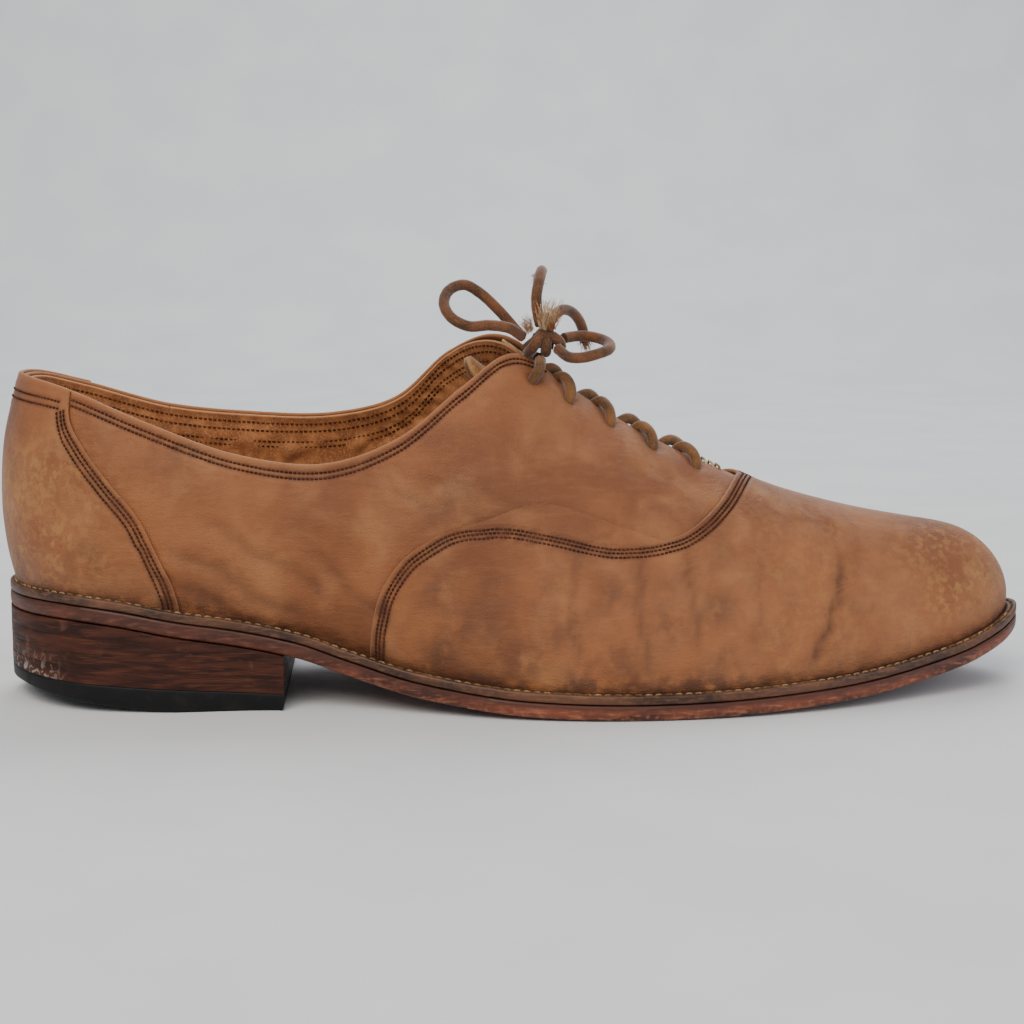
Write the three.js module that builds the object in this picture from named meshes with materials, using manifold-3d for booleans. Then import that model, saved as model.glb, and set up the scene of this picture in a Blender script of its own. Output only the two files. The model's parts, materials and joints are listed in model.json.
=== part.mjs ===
// Right-foot leather oxford: a plain-toe shoe whose laced facings close over the tongue.
// Units are millimetres: +X from heel to toe, +Y towards the inner side of the foot, +Z up.
// The surface of the upper is lofted over shoe-last stations. Each layer of the upper is an
// offset of that one surface, so the layers stay parallel and a clearance apart.

import * as THREE from 'three';
import { mergeVertices } from 'three/addons/utils/BufferGeometryUtils.js';
import Module from 'manifold-3d';

const wasm = await Module();
wasm.setup();

// ---- Driving dimensions ----------------------------------------------------------------

const lastLength = 304.5;
const lastWidth = 95;
const lastHeight = 96;

const clearance = 0.3;
const upperThickness = 1.2;
const stiffenerThickness = 0.9;
const liningThickness = 0.8;
const tongueThickness = 2.2;

const weltThickness = 2.6;
const weltReachHeel = 3.2;
const weltReachForepart = 4.8;
const outsoleThickness = 4.5;
const insoleThickness = 2.4;
const ribWidth = 2.5;
const ribHeight = 2.9;
const ribInset = 5;
const shankWidth = 12;
const shankThickness = 1.2;
const shankDrop = 0.5;
const sockThickness = 0.6;
const sockEnd = 4.6;

const heelBreast = 83;
const liftCount = 4;
const topPieceFront = 5;
const topPieceBack = 10;
const heelWearDepth = 6.5;
const heelWearStart = 52;
const nailRadius = 1.1;
const topPieceNailRadius = 1.0;

const facingGap = 1.2;
const eyeletCount = 5;
const eyeletPitch = 14.3;
const eyeletInset = 8.2;
const eyeletFirst = 5;
const eyeletWall = 0.35;
const eyeletFlange = 0.7;
const laceDiameter = 3.3;
const lacePlay = 0.6;
const laceDip = 0.9;
const lacePassagePlay = 0.35;

const skirt = 2;
const sliverSize = 0.02;
const layerRows = [-1, 0, 0.14, 0.3, 0.46, 0.61, 0.73, 0.83, 0.92, 1];
const stationsPerSide = 16;
const ring = 2 * stationsPerSide;

// ---- The last: stations from heel back to toe tip -----------------------------------------

// The stations are drawn on a last of these sizes and graded to the driving dimensions.
const drawnLast = { length: 304.5, width: 95, height: 96 };
const grade = {
  x: lastLength / drawnLast.length,
  y: lastWidth / drawnLast.width,
  z: lastHeight / drawnLast.height,
};

// foot: the feather line as x, outer y, inner y.
// top: the topline, facing edge or ridge as x outer, x inner, y outer, y inner, z outer, z inner.
// bulge: how far the section leans out and up above the feather, and out and up at the top.
const stations = [
  { foot: [2.5, 0, 0], top: [5, 5, 0, 0, 96, 96], bulge: [6, 20, 6.5, -20] },
  { foot: [8, -16, 15.5], top: [9, 9, -10.5, 10.5, 95.5, 95.5], bulge: [5.5, 20, 6, -20] },
  { foot: [22, -27.5, 26.5], top: [22, 22, -19.5, 19.5, 92.5, 91.5], bulge: [5, 20, 6, -18] },
  { foot: [46, -31.5, 31], top: [45, 45, -26.5, 26, 83.5, 84.5], bulge: [5, 18, 6, -16] },
  { foot: [75, -30.5, 30], top: [71, 71, -29.5, 28.5, 74.5, 81.5], bulge: [5.5, 17, 6, -15] },
  { foot: [103, -32, 28], top: [96, 96, -30.5, 28.5, 72, 81], bulge: [7, 17, 6, -16] },
  { foot: [126, -38, 28.5], top: [117, 116, -28, 27, 79, 86], bulge: [7, 16, 7, -18] },
  { foot: [148, -44, 32], top: [136, 133, -21, 20.5, 93.5, 101], bulge: [5, 15, 10, -16] },
  { foot: [168, -47, 38], top: [152, 150, -9.5, 5, 102.5, 107], bulge: [4, 15, 14, -8] },
  { foot: [190, -47.5, 43.5], top: [170, 170, -3, -3, 91.4, 91.4], bulge: [3.5, 15, 19, -3] },
  { foot: [212, -45.5, 47.5], top: [190, 190, -3, -3, 78.7, 78.7], bulge: [3.5, 14, 20, -2] },
  { foot: [234, -41, 47], top: [211, 211, -3, -3, 68.5, 68.5], bulge: [3.5, 13, 20, -1] },
  { foot: [254, -34.5, 42], top: [232, 232, -2, -2, 59.6, 59.6], bulge: [3.5, 12, 19, -0.5] },
  { foot: [272, -26.5, 33.5], top: [253, 253, -1, -1, 53.6, 53.6], bulge: [3.2, 12, 18, -0.3] },
  { foot: [288.5, -19.5, 24], top: [270, 270, 0, 0, 50.2, 50.2], bulge: [3, 12, 17, -0.8] },
  { foot: [299.3, -11, 13], top: [279, 279, 0, 0, 48.7, 48.7], bulge: [2.6, 11.5, 16.5, -1.2] },
  { foot: [304.5, 0, 0], top: [281.5, 281.5, 0, 0, 48.2, 48.2], bulge: [2.4, 11, 16.5, -1.5] },
];

// Height of the feather line above the ground along the shoe: heel seat, waist, ball, toe spring.
const featherProfile = [
  [-5, 34.8], [18, 34.6], [35, 32.8], [53, 29.4], [70, 26.6], [88, 22.6], [102, 17.8], [120, 12.8],
  [146, 9.0], [168, 7.8], [186, 7.5], [209, 7.8], [233, 8.9], [252, 10.3], [272, 13], [287, 16.3],
  [299, 20.2], [312, 25],
];

// ---- Small maths helpers ------------------------------------------------------------------

const clamp = THREE.MathUtils.clamp;
const lerp = THREE.MathUtils.lerp;

function smooth(edge0, edge1, x) {
  const s = clamp((x - edge0) / (edge1 - edge0), 0, 1);
  return s * s * (3 - 2 * s);
}

// Station number folded to the 0..16 range, whichever side it is on.
function folded(u) {
  const m = ((u % ring) + ring) % ring;
  return Math.min(m, ring - m);
}

function ringOf(outer, inner) {
  return [...outer, ...inner.slice(1, -1).reverse()];
}

function stationRing(pick) {
  return ringOf(stations.map((s) => pick(s, 0)), stations.map((s) => pick(s, 1)));
}

function closedCurve(points) {
  return new THREE.CatmullRomCurve3(points, true, 'centripetal');
}

const featherPlan = closedCurve(stationRing((s, side) => (
  new THREE.Vector3(s.foot[0] * grade.x, s.foot[1 + side] * grade.y, 0))));
const toplineCurve = closedCurve(stationRing((s, side) => new THREE.Vector3(
  s.top[side] * grade.x, s.top[2 + side] * grade.y, s.top[4 + side] * grade.z)));
const bulgeFoot = closedCurve(stationRing((s) => (
  new THREE.Vector3(s.bulge[0] * grade.y, s.bulge[1] * grade.z, 0))));
const bulgeTop = closedCurve(stationRing((s) => (
  new THREE.Vector3(s.bulge[2] * grade.y, s.bulge[3] * grade.z, 0))));

// Cubic Hermite through the profile's points.
function featherHeight(x) {
  const drawnX = x / grade.x;
  const last = featherProfile.length - 2;
  let i = featherProfile.findIndex((p) => p[0] > drawnX) - 1;
  i = clamp(i < -1 ? last : i, 0, last);
  const slope = (k) => {
    const a = featherProfile[Math.max(k - 1, 0)];
    const b = featherProfile[Math.min(k + 1, featherProfile.length - 1)];
    return (b[1] - a[1]) / (b[0] - a[0]);
  };
  const [x0, z0] = featherProfile[i];
  const [x1, z1] = featherProfile[i + 1];
  const h = x1 - x0;
  const s = (drawnX - x0) / h;
  const z = (2 * s ** 3 - 3 * s ** 2 + 1) * z0 + (s ** 3 - 2 * s ** 2 + s) * h * slope(i)
    + (3 * s ** 2 - 2 * s ** 3) * z1 + (s ** 3 - s ** 2) * h * slope(i + 1);
  return z * grade.z;
}

function ringPoint(curve, u) {
  return curve.getPoint((((u / ring) % 1) + 1) % 1);
}

function featherPoint(u) {
  const p = ringPoint(featherPlan, u);
  p.z = featherHeight(p.x);
  return p;
}

// Outward normal of the feather line in plan.
function planNormal(u) {
  const step = 0.004;
  const a = ringPoint(featherPlan, u - step);
  const b = ringPoint(featherPlan, u + step);
  return new THREE.Vector3(b.y - a.y, a.x - b.x, 0).normalize();
}

// Point on the last at station u and height v: 0 on the feather line, 1 on the topline or ridge.
function lastPoint(u, v) {
  const foot = featherPoint(u);
  const top = ringPoint(toplineCurve, u);
  const low = ringPoint(bulgeFoot, u);
  const high = ringPoint(bulgeTop, u);
  const out = planNormal(u);
  const p1 = foot.clone().addScaledVector(out, low.x);
  p1.z += low.y;
  const p2 = top.clone().addScaledVector(out, high.x);
  p2.z += high.y;
  const w = 1 - v;
  return foot.multiplyScalar(w ** 3)
    .addScaledVector(p1, 3 * w * w * v)
    .addScaledVector(p2, 3 * w * v * v)
    .addScaledVector(top, v ** 3);
}

function plainNormal(u, v) {
  const du = 0.01;
  const dv = 0.005;
  const vv = clamp(v, 0.01, 0.98);
  const alongU = lastPoint(u + du, vv).sub(lastPoint(u - du, vv));
  const alongV = lastPoint(u, vv + dv).sub(lastPoint(u, vv - dv));
  return alongU.cross(alongV).normalize();
}

// Where the two sides meet on the ridge they share one normal, so offset layers meet as well.
function lastNormal(u, v) {
  const n = plainNormal(u, v);
  const share = smooth(8.2, 9.2, folded(u)) * smooth(0.75, 1, v);
  if (share === 0) {
    return n;
  }
  const ridge = plainNormal(u, 0.98).add(plainNormal(ring - u, 0.98)).normalize();
  return n.lerp(ridge, share).normalize();
}

// A point offset outwards from the last. Below the feather line the layers hang as a skirt.
function layerPoint(u, v, offset) {
  if (v < 0) {
    const p = featherPoint(u).addScaledVector(planNormal(u), offset);
    p.z += v * skirt;
    return p;
  }
  return lastPoint(u, v).addScaledVector(lastNormal(u, v), offset);
}

// ---- Solids from grids ----------------------------------------------------------------------

function geometryFrom(positions, triangles) {
  const g = new THREE.BufferGeometry();
  g.setAttribute('position', new THREE.BufferAttribute(new Float32Array(positions), 3));
  g.setIndex(triangles);
  const merged = mergeVertices(g, 1e-3);
  const index = merged.index.array;
  const kept = [];
  for (let i = 0; i < index.length; i += 3) {
    const [a, b, c] = [index[i], index[i + 1], index[i + 2]];
    if (a !== b && b !== c && c !== a) {
      kept.push(a, b, c);
    }
  }
  merged.setIndex(kept);
  return facingOut(merged);
}

function toManifold(geometry) {
  const g = geometry.clone();
  g.deleteAttribute('normal');
  g.deleteAttribute('uv');
  const m = mergeVertices(g, 1e-4);
  return new wasm.Manifold(new wasm.Mesh({
    numProp: 3,
    vertProperties: new Float32Array(m.attributes.position.array),
    triVerts: new Uint32Array(m.index.array),
  }));
}

function fromManifold(solid) {
  const mesh = solid.asOriginal().simplify(sliverSize).getMesh();
  const g = new THREE.BufferGeometry();
  g.setAttribute('position', new THREE.BufferAttribute(new Float32Array(mesh.vertProperties), 3));
  g.setIndex([...mesh.triVerts]);
  return g;
}

// Turns a closed mesh's faces outwards if they all point in.
function facingOut(geometry) {
  const p = geometry.attributes.position;
  const index = geometry.index.array;
  const [a, b, c] = [new THREE.Vector3(), new THREE.Vector3(), new THREE.Vector3()];
  let volume = 0;
  for (let i = 0; i < index.length; i += 3) {
    a.fromBufferAttribute(p, index[i]);
    b.fromBufferAttribute(p, index[i + 1]);
    c.fromBufferAttribute(p, index[i + 2]);
    volume += a.dot(b.cross(c));
  }
  if (volume < 0) {
    geometry.setIndex([...index].reverse());
  }
  return geometry;
}

// A boolean cut leaves slivers apart from the piece: only its largest body is the piece.
function largestBody(solid) {
  const bodies = solid.decompose();
  return bodies.reduce((best, b) => (b.volume() > best.volume() ? b : best));
}

function subtractAll(solid, cutters) {
  return cutters.reduce((s, c) => s.subtract(c), solid);
}

// A closed shell over a grid of (i, j) cells between an outer and an inner skin.
// skipRim(i) tells for which columns the last row is zipped to the opposite side.
function gridShell(columns, rows, outer, inner, skipRim = () => false) {
  const positions = [];
  const triangles = [];
  const nI = columns.length;
  const nJ = rows.length;
  const push = (p) => positions.push(p.x, p.y, p.z);
  columns.forEach((u) => rows.forEach((v) => push(outer(u, v))));
  columns.forEach((u) => rows.forEach((v) => push(inner(u, v))));
  const at = (layer, i, j) => layer * nI * nJ + i * nJ + j;
  const quad = (a, b, c, d) => triangles.push(a, b, c, a, c, d);
  for (let i = 0; i < nI - 1; i += 1) {
    for (let j = 0; j < nJ - 1; j += 1) {
      quad(at(0, i, j), at(0, i + 1, j), at(0, i + 1, j + 1), at(0, i, j + 1));
      quad(at(1, i, j), at(1, i, j + 1), at(1, i + 1, j + 1), at(1, i + 1, j));
    }
    quad(at(0, i + 1, 0), at(0, i, 0), at(1, i, 0), at(1, i + 1, 0));
    if (!skipRim(i)) {
      quad(at(0, i, nJ - 1), at(0, i + 1, nJ - 1), at(1, i + 1, nJ - 1), at(1, i, nJ - 1));
    }
  }
  for (let j = 0; j < nJ - 1; j += 1) {
    quad(at(0, 0, j), at(0, 0, j + 1), at(1, 0, j + 1), at(1, 0, j));
    quad(at(0, nI - 1, j + 1), at(0, nI - 1, j), at(1, nI - 1, j), at(1, nI - 1, j + 1));
  }
  return geometryFrom(positions, triangles);
}

// The columns that every layer shares: closer round the heel and the toe, wider along the sides.
const layerColumns = (() => {
  const heel = [0, 0.5, 1, 1.5, 2, 3, 4, 5, 6, 7];
  const facing = [8, 8.5, 9, 9.5, 10, 10.5, 11, 11.5, 12];
  const toe = [13, 13.5, 14, 14.5, 15, 15.5];
  const oneSide = [...heel, ...facing, ...toe];
  const other = [...oneSide.slice(1).reverse(), 0].map((u) => ring - u);
  const once = [...oneSide, stationsPerSide, ...other.slice(0, -1)];
  return [...once.map((u) => u - ring), ...once, ring];
})();

// The shared columns between two station numbers, with both ends kept.
function columnsBetween(from, to) {
  const inside = layerColumns.filter((u) => u > from + 0.1 && u < to - 0.1);
  return [from, ...inside, to];
}

// One layer of the upper. offsets are functions of (u, v) giving the two skins.
function layerShell(from, to, outerOffset, innerOffset, rows = layerRows) {
  const columns = columnsBetween(from, to);
  const crossesToe = from < stationsPerSide && to > stationsPerSide;
  const zipped = (i) => crossesToe
    && folded(columns[i]) > ridgeStation - 0.01
    && folded(columns[i + 1]) > ridgeStation - 0.01;
  return gridShell(
    columns,
    rows,
    (u, v) => layerPoint(u, v, outerOffset(u, v)),
    (u, v) => layerPoint(u, v, innerOffset(u, v)),
    zipped,
  );
}

// ---- Seams, as (station, height) points, from the sole up -----------------------------------

const throatStation = 11.5;
// From here to the toe both sides of the last share one ridge line.
const ridgeStation = 10;
const vampSeam = [
  [5.2, -2], [5.25, 0], [5.45, 0.3], [5.85, 0.49], [6.4, 0.555], [7.1, 0.53], [8, 0.458], [9, 0.45],
  [9.9, 0.52], [10.5, 0.63], [10.95, 0.76], [11.35, 0.93], [throatStation, 1.03], [11.55, 1.1],
];
const quarterUnderlap = [
  [5.75, -2], [5.78, 0], [5.95, 0.22], [6.3, 0.4], [7.1, 0.42], [8, 0.35], [9, 0.34], [10, 0.41],
  [10.7, 0.52], [11.3, 0.66], [11.75, 0.82], [12, 0.95], [12.1, 1.1],
];
const counterEdge = [
  [3.24, -2], [3.24, 0], [3.2, 0.12], [3.08, 0.27], [2.88, 0.46], [2.56, 0.6], [2.24, 0.74],
  [2.04, 0.86], [2, 0.96], [2, 1.1],
];
const liningSeamGap = { u: 0.012, v: 0.004 };
const noShift = { u: 0, v: 0 };

function seamSamples(points, count) {
  const curve = new THREE.CatmullRomCurve3(
    points.map(([u, v]) => new THREE.Vector3(u, v, 0)), false, 'centripetal');
  return curve.getPoints(count).map((p) => [p.x, p.y]);
}

// A thick patch of space between a seam and a far line, used to trim a layer.
// far gives, for each share s of the seam, the (station, height) reached on the other side.
function seamCutter(seam, far, side, shift = noShift) {
  const samples = seamSamples(seam, 18);
  const rows = [0, 0.33, 0.67, 1];
  const reachOut = 4;
  const reachIn = 7;
  const point = (i, j, offset) => {
    const [su, sv] = samples[i];
    const [fu, fv] = far(i / (samples.length - 1));
    const u = lerp(su + shift.u, fu, j);
    const v = lerp(sv + shift.v, fv, j);
    return layerPoint(side > 0 ? u : ring - u, v, offset);
  };
  const columns = samples.map((_, i) => i);
  const outer = (i, j) => point(i, j, reachOut);
  const inner = (i, j) => point(i, j, -reachIn);
  return toManifold(gridShell(columns, rows, outer, inner));
}

// Heights past the sole and past the topline, so that a cutter clears both edges of a layer.
const cutBelow = -3;
const cutAbove = 1.12;

// The space behind the vamp seam: everything the quarters show.
const quarterSide = (s) => {
  const corner = 0.45;
  const back = 3.8;
  const front = 11.6;
  if (s < corner) {
    return [back, lerp(cutBelow, cutAbove, s / corner)];
  }
  return [lerp(back, front, (s - corner) / (1 - corner)), cutAbove];
};

// The space in front of the quarters' hidden edge, under the vamp.
const vampSide = (s) => {
  const corner = 0.6;
  const back = 6.2;
  const front = 13;
  if (s < corner) {
    return [lerp(back, front, s / corner), cutBelow];
  }
  return [front, lerp(cutBelow, cutAbove, (s - corner) / (1 - corner))];
};

// The space in front of the counter cover.
const counterFront = 4.6;
const counterSide = (s) => [counterFront, lerp(cutBelow, cutAbove, s)];

// ---- The layers of the upper ----------------------------------------------------------------

const quarterOuter = -clearance;
const quarterInner = quarterOuter - upperThickness;
const stiffOuter = quarterInner - clearance;
const stiffInner = stiffOuter - stiffenerThickness;

const heelStiffenerEnd = 4;
const heelStiffenerTop = 0.8;
const stayEnd = 11;
const stayFoot = 0.73;

// 1 where a stiffener lies between quarter and lining, 0 where the lining meets the quarter.
function stiffened(u, v) {
  const m = folded(u);
  const heel = (1 - smooth(heelStiffenerEnd, heelStiffenerEnd + 1, m)) * (1 - smooth(0.84, 0.98, v));
  const facing = smooth(6.9, 7.7, m) * (1 - smooth(stayEnd + 0.1, stayEnd + 0.9, m))
    * smooth(stayFoot - 0.1, stayFoot - 0.01, v);
  return Math.max(heel, facing);
}

function liningOuter(u, v) {
  return quarterInner - clearance - stiffened(u, v) * (stiffenerThickness + clearance);
}

function liningInner(u, v) {
  return liningOuter(u, v) - liningThickness;
}

const fixed = (value) => () => value;
const side = { lateral: 1, medial: -1 };

function onSide(sideSign, from, to) {
  return sideSign > 0 ? [from, to] : [ring - to, ring - from];
}

// ---- Eyelets and lace -----------------------------------------------------------------------

const laceRadius = laceDiameter / 2;
const eyeletBore = laceRadius + lacePlay;
const barrelRadius = eyeletBore + eyeletWall;

// Stations along a facing edge at even spacing, from the ankle end down to the throat.
const facingTopStation = 8;
function facingStations() {
  const steps = 400;
  const start = facingTopStation;
  const found = [];
  let travelled = 0;
  let wanted = eyeletFirst;
  let previous = lastPoint(start, 1);
  for (let k = 1; k <= steps && found.length < eyeletCount; k += 1) {
    const u = start + (k / steps) * (throatStation + 1 - start);
    const p = lastPoint(u, 1);
    travelled += p.distanceTo(previous);
    previous = p;
    if (travelled >= wanted) {
      found.push(u);
      wanted += eyeletPitch;
    }
  }
  return found;
}

// Height at which a section is a given distance below the facing edge.
function heightBelowEdge(u, distance) {
  const top = lastPoint(u, 1);
  let v = 1;
  while (v > 0.5 && lastPoint(u, v).distanceTo(top) < distance) {
    v -= 0.005;
  }
  return v;
}

const facingU = facingStations();

// Share of the way from one listed value to the next, and the two values.
function between(list, x) {
  const next = list.findIndex((value) => value > x);
  const i = next < 0 ? list.length - 1 : Math.max(next, 1);
  return { low: list[i - 1], high: list[i], share: (x - list[i - 1]) / (list[i] - list[i - 1]) };
}

// A point on the flat facets of the layers, which lie a little inside the smooth last.
function facetPoint(u, v) {
  const cols = between(layerColumns, u);
  const rows = between(layerRows, v);
  const row = (w) => lastPoint(cols.low, w).lerp(lastPoint(cols.high, w), cols.share);
  return row(rows.low).lerp(row(rows.high), rows.share);
}

function eyeletFrame(index, sideSign) {
  const u = facingU[index];
  const v = heightBelowEdge(u, eyeletInset);
  const uu = sideSign > 0 ? u : ring - u;
  const alongU = facetPoint(uu + 0.2, v).sub(facetPoint(uu - 0.2, v));
  const alongV = facetPoint(uu, v + 0.02).sub(facetPoint(uu, v - 0.02));
  return { at: facetPoint(uu, v), out: alongU.cross(alongV).normalize() };
}

// A turned ring: barrel through stay and lining, flange against the lining.
const barrelTop = stiffOuter;
const flangeTop = stiffInner - clearance - liningThickness - 3 * clearance;
const flangeThickness = 0.45;

function eyeletGeometry(index, sideSign) {
  const profile = [
    [eyeletBore, barrelTop],
    [eyeletBore, flangeTop - flangeThickness],
    [barrelRadius + eyeletFlange, flangeTop - flangeThickness],
    [barrelRadius + eyeletFlange, flangeTop],
    [barrelRadius, flangeTop],
    [barrelRadius, barrelTop],
    [eyeletBore, barrelTop],
  ].map(([r, y]) => new THREE.Vector2(r, y));
  const g = new THREE.LatheGeometry(profile, 12);
  const frame = eyeletFrame(index, sideSign);
  const turn = new THREE.Quaternion().setFromUnitVectors(new THREE.Vector3(0, 1, 0), frame.out);
  g.applyQuaternion(turn);
  g.translate(frame.at.x, frame.at.y, frame.at.z);
  return cleaned(g);
}

// Joins the seams and poles that three's own generators leave open.
function cleaned(geometry) {
  const g = geometry.index ? geometry : geometry.clone().setIndex(
    [...Array(geometry.attributes.position.count).keys()]);
  return geometryFrom([...g.attributes.position.array], [...g.index.array]);
}

function roundSection(radius, sides) {
  const shape = new THREE.Shape();
  for (let k = 0; k < sides; k += 1) {
    const a = (k / sides) * 2 * Math.PI;
    const p = [radius * Math.cos(a), radius * Math.sin(a)];
    if (k === 0) {
      shape.moveTo(...p);
    } else {
      shape.lineTo(...p);
    }
  }
  shape.closePath();
  return shape;
}

function tube(points, radius, steps, sides = 8) {
  const path = new THREE.CatmullRomCurve3(points, false, 'centripetal');
  const g = new THREE.ExtrudeGeometry(roundSection(radius, sides), { steps, extrudePath: path });
  return cleaned(g);
}

function solidCylinder(from, to, radius, sides) {
  const g = new THREE.CylinderGeometry(radius, radius, from.distanceTo(to), sides);
  const dir = to.clone().sub(from).normalize();
  g.applyQuaternion(new THREE.Quaternion().setFromUnitVectors(new THREE.Vector3(0, 1, 0), dir));
  const mid = from.clone().add(to).multiplyScalar(0.5);
  g.translate(mid.x, mid.y, mid.z);
  return cleaned(g);
}

// Depths of the lace's centre line, measured from the surface of the last.
const laceUnder = flangeTop - flangeThickness - clearance - laceRadius;
const laceOver = quarterOuter + clearance + laceRadius;

function ridgePoint(share, index) {
  const u = lerp(facingU[index], facingU[index - 1], share);
  return { at: lastPoint(u, 1), out: lastNormal(u, 1) };
}

const along = (frame, depth) => frame.at.clone().addScaledVector(frame.out, depth);

// The lace's rise through an eyelet: depths of the centre line from under the lining to above.
const eyeletDepths = [laceUnder + 1.3, laceUnder + 2.8, -2.4, -0.2];
const throughEyelet = (frame) => eyeletDepths.map((depth) => along(frame, depth));

// Where a leg dives between two eyelets, as a share of the pitch, and how deep. The two sides
// dive at different places, so that their lengths under the facings cross without touching.
const diveShare = { lateral: 0.27, medial: 0.6 };
const diveDepth = -2.6;
const laceCrown = 0.5;

// Points of one leg: up through an eyelet, over its facing, and down into the facing gap.
function legPoints(index, sideSign) {
  const eyelet = eyeletFrame(index, sideSign);
  const next = eyeletFrame(index - 1, -sideSign);
  const gap = ridgePoint(sideSign > 0 ? diveShare.lateral : diveShare.medial, index);
  const spanPoint = (a, depthA, b, depthB, share) => along(a, depthA).lerp(along(b, depthB), share);
  const halfDip = laceUnder - laceDip / 2;
  return [
    ...throughEyelet(eyelet),
    spanPoint(eyelet, laceOver + laceCrown, gap, laceOver + laceCrown, 0.3),
    spanPoint(eyelet, laceOver, gap, laceOver, 0.75),
    along(gap, diveDepth),
    spanPoint(gap, halfDip, next, halfDip, 0.25),
    spanPoint(gap, laceUnder, next, laceUnder - laceDip, 0.66),
  ];
}

// ---- Free lace: knot, two loops and two ends --------------------------------------------------

const knotCentre = new THREE.Vector3(160.5, -7, 105.5);
const knotRadii = new THREE.Vector3(6, 5, 4.6);

const looseRoutes = {
  lace_loop_rear: [
    [154.2, -8.7, 107.2], [150.2, -12, 109.9], [144, -15, 111], [138, -15.8, 110.8],
    [133, -14.4, 113.2], [130.8, -10.2, 117.2], [132.6, -5.6, 121], [137.2, -3, 122.4],
    [142, -2.6, 119.8], [147, -2.9, 115.2], [150.8, -3.4, 111], [153.6, -4.4, 107.6],
  ],
  lace_loop_front: [
    [164.5, -11.1, 103.8], [167.6, -15.2, 101.6], [171.6, -17.6, 101.6], [176, -16.8, 102.6],
    [179.6, -13, 103.6], [180.4, -8, 104.8], [178.4, -3.2, 106], [174.4, -1, 106.8],
    [170.4, -1.8, 106.8], [166.9, -4.4, 106.4],
  ],
  lace_end_upright: [
    [159.6, -6.5, 110.7], [158.9, -7.9, 113.4], [158.4, -8.9, 116.4], [158.4, -8.7, 119.6],
    [159, -6.9, 122.4], [159.8, -3.8, 124.8], [160.4, 0, 126.2], [160.8, 4.2, 126.2],
    [160.3, 9.8, 124.2],
  ],
  lace_end_short: [
    [162.4, -3.2, 109.2], [163.6, -0.4, 112], [165.6, 3, 113.8], [168.2, 7, 114.4],
    [171, 11, 113.2], [173.4, 15, 110.4], [175, 18.8, 106.6], [175.6, 20.8, 104],
  ],
};

function looseLace(name) {
  const points = looseRoutes[name].map((p) => new THREE.Vector3(...p));
  return tube(points, laceRadius, Math.round(1.7 * points.length));
}

function knotGeometry() {
  const g = new THREE.SphereGeometry(1, 12, 8);
  g.scale(knotRadii.x, knotRadii.y, knotRadii.z);
  g.translate(knotCentre.x, knotCentre.y, knotCentre.z);
  return cleaned(g);
}

// The threaded lace: from the knot down one row of eyelets, along the hidden bar, up the other.
function threadedPoints() {
  const bottom = eyeletCount - 1;
  const climb = (start) => {
    let sideSign = start;
    let points = [];
    for (let i = bottom; i > 0; i -= 1) {
      points = points.concat(legPoints(i, sideSign));
      sideSign = -sideSign;
    }
    const last = eyeletFrame(0, sideSign);
    const knotSide = new THREE.Vector3(-1, -sideSign * 3.6, 0).add(knotCentre);
    knotSide.z -= knotRadii.z * 0.62 + laceRadius + 2 * clearance;
    const rise = along(last, laceOver + 0.6).lerp(knotSide, 0.3).addScaledVector(last.out, 0.8);
    return [...points, ...throughEyelet(last), rise, knotSide];
  };
  const first = climb(side.medial).reverse();
  const second = climb(side.lateral);
  const a = eyeletFrame(bottom, side.medial);
  const b = eyeletFrame(bottom, side.lateral);
  const barDepth = laceUnder - laceDip;
  const bar = [0.25, 0.5, 0.75].map((s) => along(a, barDepth).lerp(along(b, barDepth), s));
  return [...first, ...bar, ...second];
}

// ---- Sole parts -------------------------------------------------------------------------------

function weltReach(x) {
  return lerp(weltReachHeel, weltReachForepart, smooth(70, 130, x / grade.x));
}

function outlinePoint(u, offset) {
  return featherPoint(u).addScaledVector(planNormal(u), offset);
}

function soleOutline(u) {
  const p = featherPoint(u);
  return outlinePoint(u, weltReach(p.x));
}

// A slab that follows the feather profile, between paired points of the two sides.
// outline(u) gives the edge; top and bottom give heights from the pair's x and the point's x.
function soleSlab(stationsU, outline, top, bottom) {
  const positions = [];
  const triangles = [];
  const n = stationsU.length;
  stationsU.forEach((u) => {
    [u, ring - u].forEach((uu) => {
      const p = outline(uu);
      positions.push(p.x, p.y, top(p));
      positions.push(p.x, p.y, bottom(p));
    });
  });
  const quad = (a, b, c, d) => triangles.push(a, b, c, a, c, d);
  for (let i = 0; i < n - 1; i += 1) {
    const [a, b] = [4 * i, 4 * (i + 1)];
    quad(a, b, b + 2, a + 2);
    quad(a + 1, a + 3, b + 3, b + 1);
    quad(a + 1, b + 1, b, a);
    quad(a + 2, b + 2, b + 3, a + 3);
  }
  quad(0, 2, 3, 1);
  const e = 4 * (n - 1);
  quad(e, e + 1, e + 3, e + 2);
  return geometryFrom(positions, triangles);
}

// A band between an outer and an inner edge, all round or between two stations.
function soleBand(columns, outer, inner, top, bottom) {
  const positions = [];
  const triangles = [];
  const n = columns.length;
  columns.forEach((u) => {
    [outer(u), inner(u)].forEach((p) => {
      positions.push(p.x, p.y, top(p));
      positions.push(p.x, p.y, bottom(p));
    });
  });
  const quad = (a, b, c, d) => triangles.push(a, b, c, a, c, d);
  for (let i = 0; i < n; i += 1) {
    const [a, b] = [4 * i, 4 * ((i + 1) % n)];
    quad(a, b, b + 2, a + 2);
    quad(a + 1, a + 3, b + 3, b + 1);
    quad(a + 1, b + 1, b, a);
    quad(a + 2, b + 2, b + 3, a + 3);
  }
  return geometryFrom(positions, triangles);
}

const above = (height) => (p) => featherHeight(p.x) + height;
const fullRing = Array.from({ length: 2 * ring }, (_, i) => i / 2);
const halfStations = fullRing.slice(0, ring + 1);
const outsoleTop = -weltThickness - clearance;
const outsoleBottom = outsoleTop - outsoleThickness;

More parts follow.
